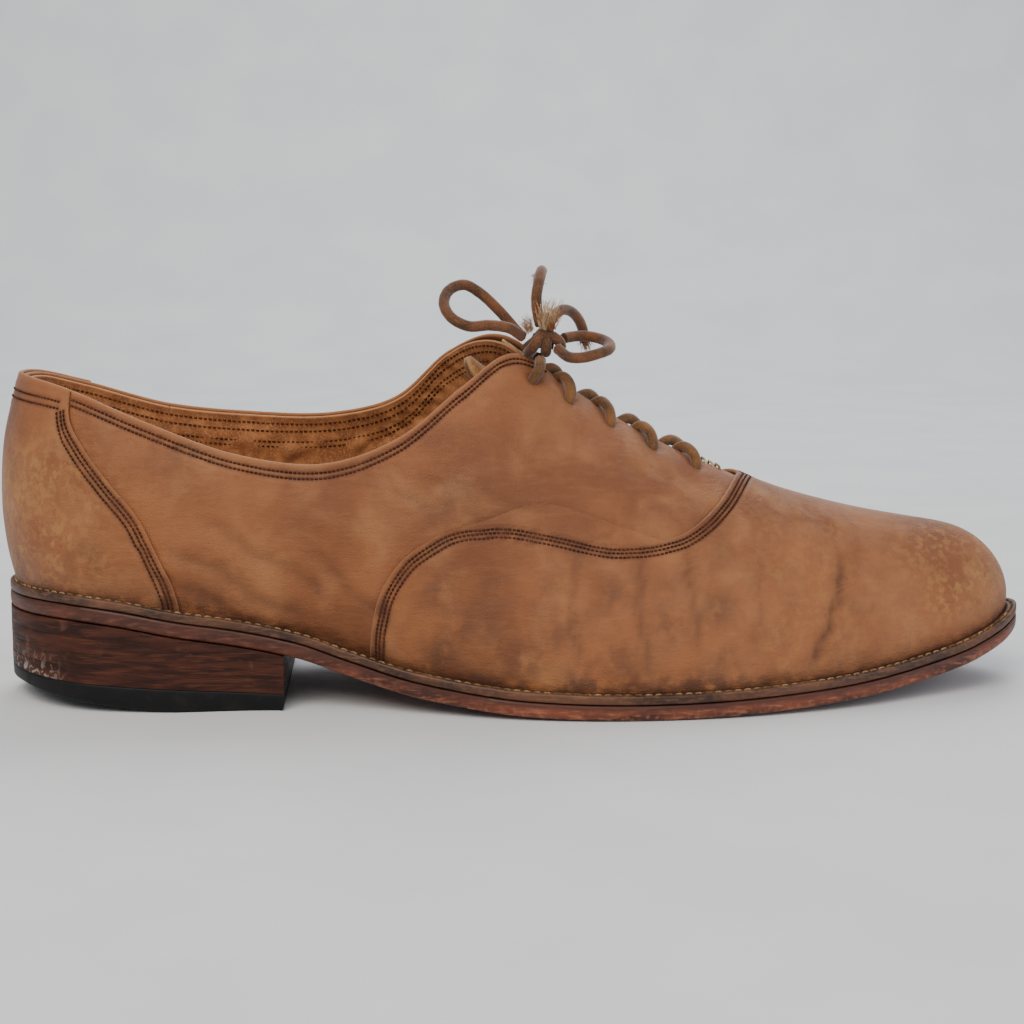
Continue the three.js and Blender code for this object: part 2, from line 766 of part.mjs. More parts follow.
// 1 under the vamp and the counter cover, 0 where the quarter itself meets the welt.
function covered(u) {
  const m = folded(u);
  return Math.max(1 - smooth(3.36, 3.7, m), smooth(4.8, 5.15, m));
}

function weltInner(u) {
  return lerp(quarterOuter, upperThickness, covered(u)) + 2.5 * clearance;
}

// The insole lies inside the lining; its edge is what the lining leaves.
function insoleOutline(extra) {
  return (u) => outlinePoint(u, liningInner(u, 0) - 3 * clearance - extra);
}

const insoleBottom = 0.6;
const insoleTop = insoleBottom + insoleThickness;
const ribTop = insoleBottom - clearance;
const ribBottom = ribTop - ribHeight;

function planePoint(x, y, z) {
  return new THREE.Vector3(x * grade.x, y * grade.y, z);
}

// Shank: a bowed steel strip in the waist, from the heel seat to the ball.
const shankEnds = [52, 158];
function shankGeometry(grow, headroom = 0) {
  const steps = 12;
  const centre = -2.5 * grade.y;
  const positions = [];
  const triangles = [];
  const half = shankWidth / 2 + grow;
  for (let i = 0; i <= steps; i += 1) {
    const s = i / steps;
    const end = i === 0 ? -grow : (i === steps ? grow : 0);
    const x = lerp(shankEnds[0], shankEnds[1], s) * grade.x + end;
    const z = featherHeight(x) + ribTop - shankDrop + headroom;
    const bottom = z - headroom - shankThickness - grow;
    positions.push(x, centre - half, z, x, centre - half, bottom);
    positions.push(x, centre + half, z, x, centre + half, bottom);
  }
  const quad = (a, b, c, d) => triangles.push(a, b, c, a, c, d);
  for (let i = 0; i < steps; i += 1) {
    const [a, b] = [4 * i, 4 * (i + 1)];
    quad(a, b, b + 2, a + 2);
    quad(a + 1, a + 3, b + 3, b + 1);
    quad(a + 1, b + 1, b, a);
    quad(a + 2, b + 2, b + 3, a + 3);
  }
  quad(0, 2, 3, 1);
  const e = 4 * steps;
  quad(e, e + 1, e + 3, e + 2);
  return geometryFrom(positions, triangles);
}

// ---- Heel ---------------------------------------------------------------------------------------

const breastX = heelBreast * grade.x;

// Station at which the sole's edge crosses the breast line.
function breastStation(sideSign) {
  let low = 0;
  let high = 8;
  for (let k = 0; k < 40; k += 1) {
    const mid = (low + high) / 2;
    if (soleOutline(sideSign > 0 ? mid : ring - mid).x < breastX) {
      low = mid;
    } else {
      high = mid;
    }
  }
  return sideSign > 0 ? low : ring - low;
}

// Heel outline: pairs of stations on the sole's edge, with the last pair on the breast line.
const breastMargin = 3;
const heelPairs = [
  ...halfStations.filter((u) => soleOutline(u).x < breastX - breastMargin).map((u) => [u, ring - u]),
  [breastStation(side.lateral), breastStation(side.medial)],
];

// Heights in the stack: 0 on the top piece's upper face, 1 under the outsole.
const topPieceTop = (x) => lerp(topPieceBack, topPieceFront, clamp(x / breastX, -0.1, 1.1));
const stackTop = (x) => featherHeight(x) + outsoleBottom - clearance;

function heelLayer(bottomShare, topShare) {
  const share = (x, s) => lerp(topPieceTop(x), stackTop(x), s);
  return heelSlab(
    (p) => share(p.x, topShare),
    (p) => share(p.x, bottomShare) + clearance,
  );
}

// The tread is worn away towards the outer back corner.
function treadHeight(p) {
  const back = clamp((heelWearStart * grade.x - p.x) / (heelWearStart * grade.x), 0, 1.05);
  const outward = lerp(0.55, 1, smooth(12, -20, p.y));
  return heelWearDepth * back ** 1.35 * outward;
}

// A slab over the heel's plan, with its height given at shares across each pair of edge points.
function heelSlab(top, bottom, across = [0, 1]) {
  const positions = [];
  const triangles = [];
  const rows = heelPairs.map((pair) => pair.map(soleOutline));
  rows.forEach(([a, b]) => across.forEach((s) => {
    const p = a.clone().lerp(b, s);
    positions.push(p.x, p.y, top(p));
  }));
  rows.forEach(([a, b]) => across.forEach((s) => {
    const p = a.clone().lerp(b, s);
    positions.push(p.x, p.y, bottom(p));
  }));
  const n = rows.length;
  const m = across.length;
  const at = (layer, i, j) => layer * n * m + i * m + j;
  const quad = (a, b, c, d) => triangles.push(a, b, c, a, c, d);
  for (let i = 0; i < n - 1; i += 1) {
    for (let j = 0; j < m - 1; j += 1) {
      quad(at(0, i, j), at(0, i + 1, j), at(0, i + 1, j + 1), at(0, i, j + 1));
      quad(at(1, i, j), at(1, i, j + 1), at(1, i + 1, j + 1), at(1, i + 1, j));
    }
    quad(at(1, i, 0), at(1, i + 1, 0), at(0, i + 1, 0), at(0, i, 0));
    quad(at(0, i, m - 1), at(0, i + 1, m - 1), at(1, i + 1, m - 1), at(1, i, m - 1));
  }
  for (let j = 0; j < m - 1; j += 1) {
    quad(at(0, 0, j), at(0, 0, j + 1), at(1, 0, j + 1), at(1, 0, j));
    quad(at(0, n - 1, j + 1), at(0, n - 1, j), at(1, n - 1, j), at(1, n - 1, j + 1));
  }
  return geometryFrom(positions, triangles);
}

const heelNails = [[18, 0], [34, -18], [34, 16], [64, -17], [64, 15]];
const topPieceNails = [[14, 10], [14, -10], [38, -22], [38, 20], [66, -22], [66, 20]];

const nailCover = 1;
const topPieceNailBite = 4;
const nailSides = 7;

// Heel nails run from the lowest lift into the outsole, covered at both ends.
function heelNailGeometry([x, y], grow) {
  const foot = planePoint(x, y, 0);
  foot.z = topPieceTop(foot.x) + nailCover - grow;
  const head = planePoint(x, y, 0);
  head.z = featherHeight(head.x) + outsoleTop - nailCover + grow;
  return solidCylinder(foot, head, nailRadius + grow, nailSides);
}

// Top-piece nails show in the tread. Their holes, the grown ones, run out through it.
function topPieceNailGeometry([x, y], grow) {
  const foot = planePoint(x, y, 0);
  foot.z = treadHeight(foot) + (grow > 0 ? -nailCover : clearance);
  const head = planePoint(x, y, 0);
  head.z = topPieceTop(head.x) + topPieceNailBite + grow;
  return solidCylinder(foot, head, topPieceNailRadius + grow, nailSides);
}

// ---- Tongue -------------------------------------------------------------------------------------

// The tongue lies under the lace. It rises to its seam below the vamp's throat at one end, and
// runs on straight past the top of the facings at the other.
const tongueBaseStation = 11.9;
const tongueStraightStation = 9;
const tongueRun = 31;
const tongueRunDirection = new THREE.Vector3(-0.8, 0, 0.6);
const tongueHalfWidth = { base: 12, top: 34 };
const tongueUnder = laceUnder - laceDip - laceRadius - 4 * clearance;

function tongueOffset(u) {
  const seated = quarterInner - liningThickness - 3 * clearance;
  return lerp(tongueUnder, seated - clearance, smooth(11.1, tongueBaseStation, u));
}

// Rows run from the straight end (negative, as shares of the run) to the base (stations).
function tongueGeometry() {
  const across = [-1, -0.65, -0.3, 0, 0.3, 0.65, 1];
  const rows = [-1, -0.5, ...columnsBetween(tongueStraightStation, tongueBaseStation)];
  const skin = (extra) => (row, w) => {
    const u = Math.max(row, tongueStraightStation);
    const widening = 1 - smooth(tongueStraightStation, tongueBaseStation, u);
    const reach = Math.abs(w) * lerp(tongueHalfWidth.base, tongueHalfWidth.top, widening);
    const v = heightBelowEdge(u, reach);
    const p = layerPoint(w < 0 ? u : ring - u, v, tongueOffset(u) - extra);
    return p.addScaledVector(tongueRunDirection, Math.max(-row, 0) * tongueRun);
  };
  return gridShell(rows, across, skin(0), skin(tongueThickness));
}

// Bar tack: four thread bars across the foot of the facing slit, joined by a spine.
const tackStations = [10.82, 10.92, 11.02, 11.12];
const threadRadius = 0.4;

function tackGeometry() {
  const height = threadRadius + clearance;
  const onRidge = (u) => facetPoint(u, 1).addScaledVector(lastNormal(u, 1), height);
  const onSlope = (u, distance) => {
    const v = heightBelowEdge(folded(u), distance);
    return facetPoint(u, v).addScaledVector(lastNormal(u, v), height);
  };
  const bars = tackStations.map((u) => toManifold(tube([
    onSlope(u, 4), onSlope(u, 2), onRidge(u), onSlope(ring - u, 2), onSlope(ring - u, 4),
  ], threadRadius, 6, 6)));
  const spineEnds = [tackStations[0], tackStations[tackStations.length - 1]];
  const spine = toManifold(tube(spineEnds.map(onRidge), threadRadius, 1, 6));
  return fromManifold(bars.reduce((joined, bar) => joined.add(bar), spine));
}

// ---- Assembly -----------------------------------------------------------------------------------

const colours = {
  tan: 0xb47a4a,
  suede: 0xb5803f,
  drill: 0xcbb089,
  tongue: 0xb27f48,
  board: 0xa98c62,
  welt: 0x5b3a22,
  sole: 0x7c4a34,
  stack: 0x4a2b20,
  rubber: 0x1b1b1d,
  steel: 0x8f9296,
  brass: 0xa98a4c,
  cork: 0x9c7448,
  lace: 0x8a5a2c,
  thread: 0xe4dac6,
};

const shoe = new THREE.Group();

function add(name, geometry, color, roughness = 0.7, metalness = 0) {
  const material = new THREE.MeshStandardMaterial({ color, roughness, metalness });
  const mesh = new THREE.Mesh(geometry, material);
  mesh.name = name;
  shoe.add(mesh);
  return mesh;
}

const lacePath = threadedPoints();
const laceSteps = Math.round(1.25 * lacePath.length);
const lacePassage = toManifold(tube(lacePath, laceRadius + lacePassagePlay, laceSteps));

// The slit between the facings, cut straight down along the ridge. Above the first shared
// station the ridge parts, and the slit runs on straight.
const quarterFront = 12.5;
const slitTop = 7.6;
const slitStraight = 9;
const slitBottom = quarterFront + 0.2;
const slitAbove = 12;
const slitBelow = 14;

function facingSlit() {
  const stationsU = [slitTop, ...columnsBetween(slitStraight, slitBottom)];
  const step = 0.2;
  const direction = lastPoint(slitStraight, 1).sub(lastPoint(slitStraight + step, 1));
  const point = (rise) => (u, w) => {
    const m = Math.max(u, slitStraight);
    const lead = direction.clone().multiplyScalar((m - u) / step);
    return lastPoint(m, 1).add(new THREE.Vector3(lead.x, (w * facingGap) / 2, lead.z + rise));
  };
  return toManifold(gridShell(stationsU, [-1, 1], point(slitAbove), point(-slitBelow)));
}

const slit = facingSlit();
const sides = [['lateral', side.lateral], ['medial', side.medial]];
const barrels = sides.flatMap(([, sign]) => facingU.map((_, i) => {
  const frame = eyeletFrame(i, sign);
  const top = along(frame, stiffOuter + clearance);
  return toManifold(solidCylinder(top, along(frame, laceUnder), barrelRadius + clearance, 10));
}));
const facingCutters = [slit, lacePassage, ...barrels];

// Trims a layer with its cutters and adds what is left as one piece.
function addTrimmed(name, blank, cutters, color, roughness) {
  add(name, fromManifold(largestBody(subtractAll(blank, cutters))), color, roughness);
}

// Vamp: the overlay in front of its seam.
const overlay = { outer: fixed(upperThickness), inner: fixed(0) };
const vampStart = 4.6;
const vampBlank = toManifold(layerShell(vampStart, ring - vampStart, overlay.outer, overlay.inner));
addTrimmed('vamp', vampBlank, [1, -1].map((s) => seamCutter(vampSeam, quarterSide, s)), colours.tan);

// Counter cover: the overlay behind its edge, round the heel.
const counterEnd = 4;
const counterBlank = toManifold(layerShell(-counterEnd, counterEnd, overlay.outer, overlay.inner));
const counterCutters = [1, -1].map((s) => seamCutter(counterEdge, counterSide, s));
addTrimmed('counter_cover', counterBlank, counterCutters, colours.tan);

// Quarters, one each side, meeting at the heel back and over the tongue.
const backSeamHalf = 0.02;
sides.forEach(([name, sign]) => {
  const [from, to] = onSide(sign, backSeamHalf, quarterFront);
  const blank = toManifold(layerShell(from, to, fixed(quarterOuter), fixed(quarterInner)));
  const front = seamCutter(quarterUnderlap, vampSide, sign);
  addTrimmed(`quarter_${name}`, blank, [front, ...facingCutters], colours.tan);
});

// Stiffener round the heel, stays under the eyelets and a puff in the toe.
const stiffShell = (from, to, rows) => layerShell(from, to, fixed(stiffOuter), fixed(stiffInner), rows);
const stiffRows = layerRows.filter((v) => v < heelStiffenerTop);
add('heel_stiffener', stiffShell(-heelStiffenerEnd, heelStiffenerEnd, stiffRows), colours.board);
sides.forEach(([name, sign]) => {
  const [from, to] = onSide(sign, facingTopStation, stayEnd);
  const blank = toManifold(stiffShell(from, to, layerRows.filter((v) => v >= stayFoot)));
  addTrimmed(`facing_stay_${name}`, blank, facingCutters, colours.drill);
});
const puffStart = 12.9;
const toePuff = layerShell(puffStart, ring - puffStart, fixed(quarterOuter), fixed(quarterInner));
add('toe_puff', toePuff, colours.board);

// Linings: heel, the two quarters and the vamp, butted under the seams.
const heelLiningEnd = 3;
add('heel_lining', layerShell(-heelLiningEnd, heelLiningEnd, liningOuter, liningInner), colours.suede);
sides.forEach(([name, sign]) => {
  const [from, to] = onSide(sign, heelLiningEnd + backSeamHalf, quarterFront);
  const blank = toManifold(layerShell(from, to, liningOuter, liningInner));
  const shift = { u: -liningSeamGap.u, v: liningSeamGap.v };
  const front = seamCutter(vampSeam, vampSide, sign, shift);
  addTrimmed(`quarter_lining_${name}`, blank, [front, ...facingCutters], colours.suede);
});
const vampLiningShell = layerShell(vampStart, ring - vampStart, liningOuter, liningInner);
const vampLiningShift = { u: liningSeamGap.u, v: -liningSeamGap.v };
const vampLiningCutters = [1, -1].map((s) => seamCutter(vampSeam, quarterSide, s, vampLiningShift));
addTrimmed('vamp_lining', toManifold(vampLiningShell), vampLiningCutters, colours.drill);

add('tongue', tongueGeometry(), colours.tongue);
add('bar_tack', tackGeometry(), colours.thread, 0.9);

sides.forEach(([name, sign]) => facingU.forEach((_, i) => {
  add(`eyelet_${name}_${i + 1}`, eyeletGeometry(i, sign), colours.brass, 0.4, 0.8);
}));

add('lace_threaded', tube(lacePath, laceRadius, laceSteps), colours.lace, 0.9);
add('lace_knot', knotGeometry(), colours.lace, 0.9);
Object.keys(looseRoutes).forEach((name) => add(name, looseLace(name), colours.lace, 0.9));

// Sole: insole with its rib, shank, cork, welt and outsole.
const shankSpace = toManifold(shankGeometry(clearance, 2));
const insole = soleSlab(halfStations, insoleOutline(0), above(insoleTop), above(insoleBottom));
add('insole', insole, colours.board);
const sockStations = halfStations.filter((u) => u < sockEnd);
const sockBottom = insoleTop + clearance;
const sockOutline = insoleOutline(2 * clearance);
const heelSock = soleSlab(sockStations, sockOutline, above(sockBottom + sockThickness), above(sockBottom));
add('heel_sock', heelSock, colours.suede);
const ribOuter = insoleOutline(ribInset);
const ribInner = insoleOutline(ribInset + ribWidth);
add('insole_rib', soleBand(fullRing, ribOuter, ribInner, above(ribTop), above(ribBottom)), colours.drill);
const corkOutline = insoleOutline(ribInset + ribWidth + clearance);
const cork = toManifold(soleSlab(halfStations, corkOutline, above(ribTop), above(ribBottom)));
addTrimmed('cork_filler', cork, [shankSpace], colours.cork, 0.9);
add('shank', shankGeometry(0), colours.steel, 0.4, 0.9);
const weltInnerEdge = (u) => outlinePoint(u, weltInner(u));
add('welt', soleBand(fullRing, soleOutline, weltInnerEdge, above(0), above(-weltThickness)), colours.welt);
const heelNailHoles = heelNails.map((n) => toManifold(heelNailGeometry(n, clearance)));
const outsole = toManifold(soleSlab(halfStations, soleOutline, above(outsoleTop), above(outsoleBottom)));
addTrimmed('outsole', outsole, heelNailHoles, colours.sole);

// Heel: leather lifts, rubber top piece and their nails.
const topPieceHoles = topPieceNails.map((n) => toManifold(topPieceNailGeometry(n, clearance)));
for (let i = 0; i < liftCount; i += 1) {
  const lift = toManifold(heelLayer(i / liftCount, (i + 1) / liftCount));
  addTrimmed(`heel_lift_${i + 1}`, lift, [...heelNailHoles, ...topPieceHoles], colours.stack);
}
const topPiece = toManifold(heelSlab((p) => topPieceTop(p.x), treadHeight, [0, 0.25, 0.5, 0.75, 1]));
addTrimmed('top_piece', topPiece, topPieceHoles, colours.rubber, 0.85);
heelNails.forEach((place, i) => {
  add(`heel_nail_${i + 1}`, heelNailGeometry(place, 0), colours.steel, 0.4, 0.9);
});
topPieceNails.forEach((place, i) => {
  add(`top_piece_nail_${i + 1}`, topPieceNailGeometry(place, 0), colours.steel, 0.4, 0.9);
});

// The origin is on the ground, under the middle of everything but the free lace.
const looseNames = ['lace_knot', ...Object.keys(looseRoutes)];
const held = shoe.children.filter((mesh) => !looseNames.includes(mesh.name));
const box = new THREE.Box3();
held.forEach((mesh) => box.expandByObject(mesh));
const middle = box.getCenter(new THREE.Vector3());
shoe.position.set(-middle.x, -middle.y, -box.min.z);

export default shoe;
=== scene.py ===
"""Leather oxford shoe: the looks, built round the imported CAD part.

The upper is lofted over the same shoe-last stations as the CAD part, in millimetres from the
heel, and every vertex is then moved into the row frame in metres. The layers of leather and
lining share one relief, so that a crease in the vamp is also a crease in what lies under it.
"""

import json
import logging
import math
from dataclasses import dataclass, field
from enum import Enum
from typing import Any, Callable, Sequence

import bpy
import bmesh
import numpy as np
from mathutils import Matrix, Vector, kdtree

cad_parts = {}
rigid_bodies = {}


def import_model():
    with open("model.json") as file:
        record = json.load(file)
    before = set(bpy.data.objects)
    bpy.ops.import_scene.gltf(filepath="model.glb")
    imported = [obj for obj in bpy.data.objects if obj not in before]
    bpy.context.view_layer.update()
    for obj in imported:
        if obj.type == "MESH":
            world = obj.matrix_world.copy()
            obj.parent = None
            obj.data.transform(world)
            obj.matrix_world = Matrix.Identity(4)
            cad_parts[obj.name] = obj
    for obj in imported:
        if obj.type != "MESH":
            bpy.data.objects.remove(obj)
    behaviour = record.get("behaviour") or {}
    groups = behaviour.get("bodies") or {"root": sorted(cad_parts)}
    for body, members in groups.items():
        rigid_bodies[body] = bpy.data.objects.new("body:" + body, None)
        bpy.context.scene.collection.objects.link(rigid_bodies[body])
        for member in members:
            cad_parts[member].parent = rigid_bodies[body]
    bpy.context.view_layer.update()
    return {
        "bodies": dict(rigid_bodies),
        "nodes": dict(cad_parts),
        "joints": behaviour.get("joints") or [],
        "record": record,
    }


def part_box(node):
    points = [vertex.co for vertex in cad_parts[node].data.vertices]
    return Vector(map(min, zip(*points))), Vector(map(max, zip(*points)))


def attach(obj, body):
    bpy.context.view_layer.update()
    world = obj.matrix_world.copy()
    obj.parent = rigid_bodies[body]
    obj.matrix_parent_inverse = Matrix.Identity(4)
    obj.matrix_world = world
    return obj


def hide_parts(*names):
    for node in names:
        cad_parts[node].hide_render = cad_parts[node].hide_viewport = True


log = logging.getLogger("oxford")
Array = np.ndarray

MM = 0.001
RING = 32
SKIRT_MM = 2.0
SKIRT_SHARE = 0.125
SHOE = "shoe"
TONGUE = "tongue"


class Side(Enum):
    """A side of the foot: 1 is the outer side, where stations run 0 to 16, -1 the inner one."""

    LATERAL = 1
    MEDIAL = -1

    def station(self, u: Array) -> Array:
        """The ring's station for a station counted from the heel on this side."""
        return u if self is Side.LATERAL else RING - u


# ---- Curves and the last ----------------------------------------------------------------------


def smooth(low: float, high: float, x: Array) -> Array:
    """Smooth step from 0 at low to 1 at high."""
    s = np.clip((np.asarray(x, float) - low) / (high - low), 0, 1)
    return s * s * (3 - 2 * s)


def lerp(a: Any, b: Any, s: Any) -> Any:
    """Linear blend from a to b."""
    return a + (b - a) * s


def spline(points: Array, t: Array, closed: bool) -> Array:
    """Centripetal Catmull-Rom curve through points, as the CAD part draws it.

    Args:
        points: (n, k) control points.
        t: parameters, 0 to 1.
        closed: whether the last point joins the first.

    Returns:
        (len(t), k) points.
    """
    points = np.asarray(points, float)
    n = len(points)
    if closed:
        place = np.mod(t, 1.0) * n
        i = np.floor(place).astype(int) % n
        p0, p1, p2, p3 = (points[(i + k) % n] for k in (-1, 0, 1, 2))
    else:
        place = np.clip(t, 0, 1) * (n - 1)
        i = np.minimum(np.floor(place).astype(int), n - 2)
        ends = np.vstack([2 * points[0] - points[1], points, 2 * points[-1] - points[-2]])
        p0, p1, p2, p3 = (ends[i + k] for k in (0, 1, 2, 3))
    w = (place - np.floor(place) if closed else place - i)[..., None]

    def knot(a: Array, b: Array) -> Array:
        """Centripetal distance between two points of the curve."""
        return (np.sum((a - b) ** 2, -1) ** 0.25)[..., None]

    d0, d1, d2 = knot(p0, p1), knot(p1, p2), knot(p2, p3)
    d1 = np.where(d1 < 1e-4, 1.0, d1)
    d0 = np.where(d0 < 1e-4, d1, d0)
    d2 = np.where(d2 < 1e-4, d1, d2)
    m1 = ((p1 - p0) / d0 - (p2 - p0) / (d0 + d1) + (p2 - p1) / d1) * d1
    m2 = ((p2 - p1) / d1 - (p3 - p1) / (d1 + d2) + (p3 - p2) / d2) * d1
    return p1 + m1 * w + (3 * (p2 - p1) - 2 * m1 - m2) * w**2 + (2 * (p1 - p2) + m1 + m2) * w**3


def unit(a: Array) -> Array:
    """Vectors scaled to length 1."""
    return a / np.maximum(np.linalg.norm(a, axis=-1, keepdims=True), 1e-12)


def waves(p: Array, size: float, seed: int, count: int = 7) -> Array:
    """Smooth noise of about -1 to 1: a sum of plane waves about size long, in seeded directions."""
    rng = np.random.default_rng(seed)
    ways = unit(rng.normal(size=(count, 3))) * (2 * math.pi / size) * rng.uniform(0.6, 1.5, (count, 1))
    return np.sin(p @ ways.T + rng.uniform(0, 2 * math.pi, count)).sum(-1) / math.sqrt(count * 1.4)


# Stations from heel back to toe tip: the feather line, the topline or ridge, and how far the
# section bulges out and up at each. They are the CAD part's own driving shape.
FOOT = [
    (2.5, 0, 0), (8, -16, 15.5), (22, -27.5, 26.5), (46, -31.5, 31), (75, -30.5, 30), (103, -32, 28),
    (126, -38, 28.5), (148, -44, 32), (168, -47, 38), (190, -47.5, 43.5), (212, -45.5, 47.5),
    (234, -41, 47), (254, -34.5, 42), (272, -26.5, 33.5), (288.5, -19.5, 24), (299.3, -11, 13),
    (304.5, 0, 0),
]
TOP = [
    (5, 5, 0, 0, 96, 96), (9, 9, -10.5, 10.5, 95.5, 95.5), (22, 22, -19.5, 19.5, 92.5, 91.5),
    (45, 45, -26.5, 26, 83.5, 84.5), (71, 71, -29.5, 28.5, 74.5, 81.5), (96, 96, -30.5, 28.5, 72, 81),
    (117, 116, -28, 27, 79, 86), (136, 133, -21, 20.5, 93.5, 101), (152, 150, -9.5, 5, 102.5, 107),
    (170, 170, -3, -3, 91.4, 91.4), (190, 190, -3, -3, 78.7, 78.7), (211, 211, -3, -3, 68.5, 68.5),
    (232, 232, -2, -2, 59.6, 59.6), (253, 253, -1, -1, 53.6, 53.6), (270, 270, 0, 0, 50.2, 50.2),
    (279, 279, 0, 0, 48.7, 48.7), (281.5, 281.5, 0, 0, 48.2, 48.2),
]
BULGE = [
    (6, 20, 6.5, -20), (5.5, 20, 6, -20), (5, 20, 6, -18), (5, 18, 6, -16), (5.5, 17, 6, -15),
    (7, 17, 6, -16), (7, 16, 7, -18), (5, 15, 10, -16), (4, 15, 14, -8), (3.5, 15, 19, -3),
    (3.5, 14, 20, -2), (3.5, 13, 20, -1), (3.5, 12, 19, -0.5), (3.2, 12, 18, -0.3), (3, 12, 17, -0.8),
    (2.6, 11.5, 16.5, -1.2), (2.4, 11, 16.5, -1.5),
]
FEATHER_PROFILE = np.array([
    (-5, 34.8), (18, 34.6), (35, 32.8), (53, 29.4), (70, 26.6), (88, 22.6), (102, 17.8), (120, 12.8),
    (146, 9), (168, 7.8), (186, 7.5), (209, 7.8), (233, 8.9), (252, 10.3), (272, 13), (287, 16.3),
    (299, 20.2), (312, 25),
])


@dataclass(frozen=True)
class Crease:
    """A crease in the leather, as a line in the side view: x from the heel, z from the ground, in mm."""

    start: tuple[float, float]
    end: tuple[float, float]
    depth: float
    width: float
    swell: float = 0.5

    def fold(self, x: Array, z: Array) -> tuple[Array, Array]:
        """How far the crease moves the leather outwards, and how much painted shade darkens its groove, 0 to
        1.
        """
        a, b = np.array(self.start), np.array(self.end)
        line = b - a
        long = float(np.hypot(*line))
        way = line / long
        dx, dz = x - a[0], z - a[1]
        along = dx * way[0] + dz * way[1]
        across = dz * way[0] - dx * way[1]
        across = across + 0.9 * np.sin(along / 4.1 + a[0]) + 0.35 * np.sin(along / 1.3 + a[1])
        ends = smooth(-4, 5, along) * (1 - smooth(long - 5, long + 4, along))
        groove = np.exp(-((across / self.width) ** 2))
        away = [(across - k * 2.3 * self.width) / (1.5 * self.width) for k in (-1, 1)]
        shoulders = sum(np.exp(-(a**2)) for a in away)
        return ends * self.depth * (self.swell * shoulders - groove), ends * groove * min(1.0, self.depth)


CREASES = (
    Crease((167, 47), (167, 16), 0.45, 1.3),
    Crease((186, 47), (187, 14), 0.6, 1.4),
    Crease((201, 46), (202, 17), 0.6, 1.2),
    Crease((222, 40), (219, 18), 0.35, 1.6),
    Crease((248, 41), (243.5, 25), 0.9, 1.5, 0.9),
    Crease((243.5, 27), (237, 12), 1.0, 1.3, 0.8),
    Crease((231, 32), (229, 17), 0.35, 1.0),
    Crease((51, 49), (88, 26.5), 0.4, 1.8),
    Crease((44, 43), (74, 25), 0.3, 1.5),
    Crease((60, 57), (97, 34), 0.35, 1.9),
    Crease((92, 47), (116, 24), 0.3, 1.8),
    Crease((120, 70), (150, 62), 0.25, 1.0),
    Crease((112, 66), (140, 56), 0.22, 1.2),
)


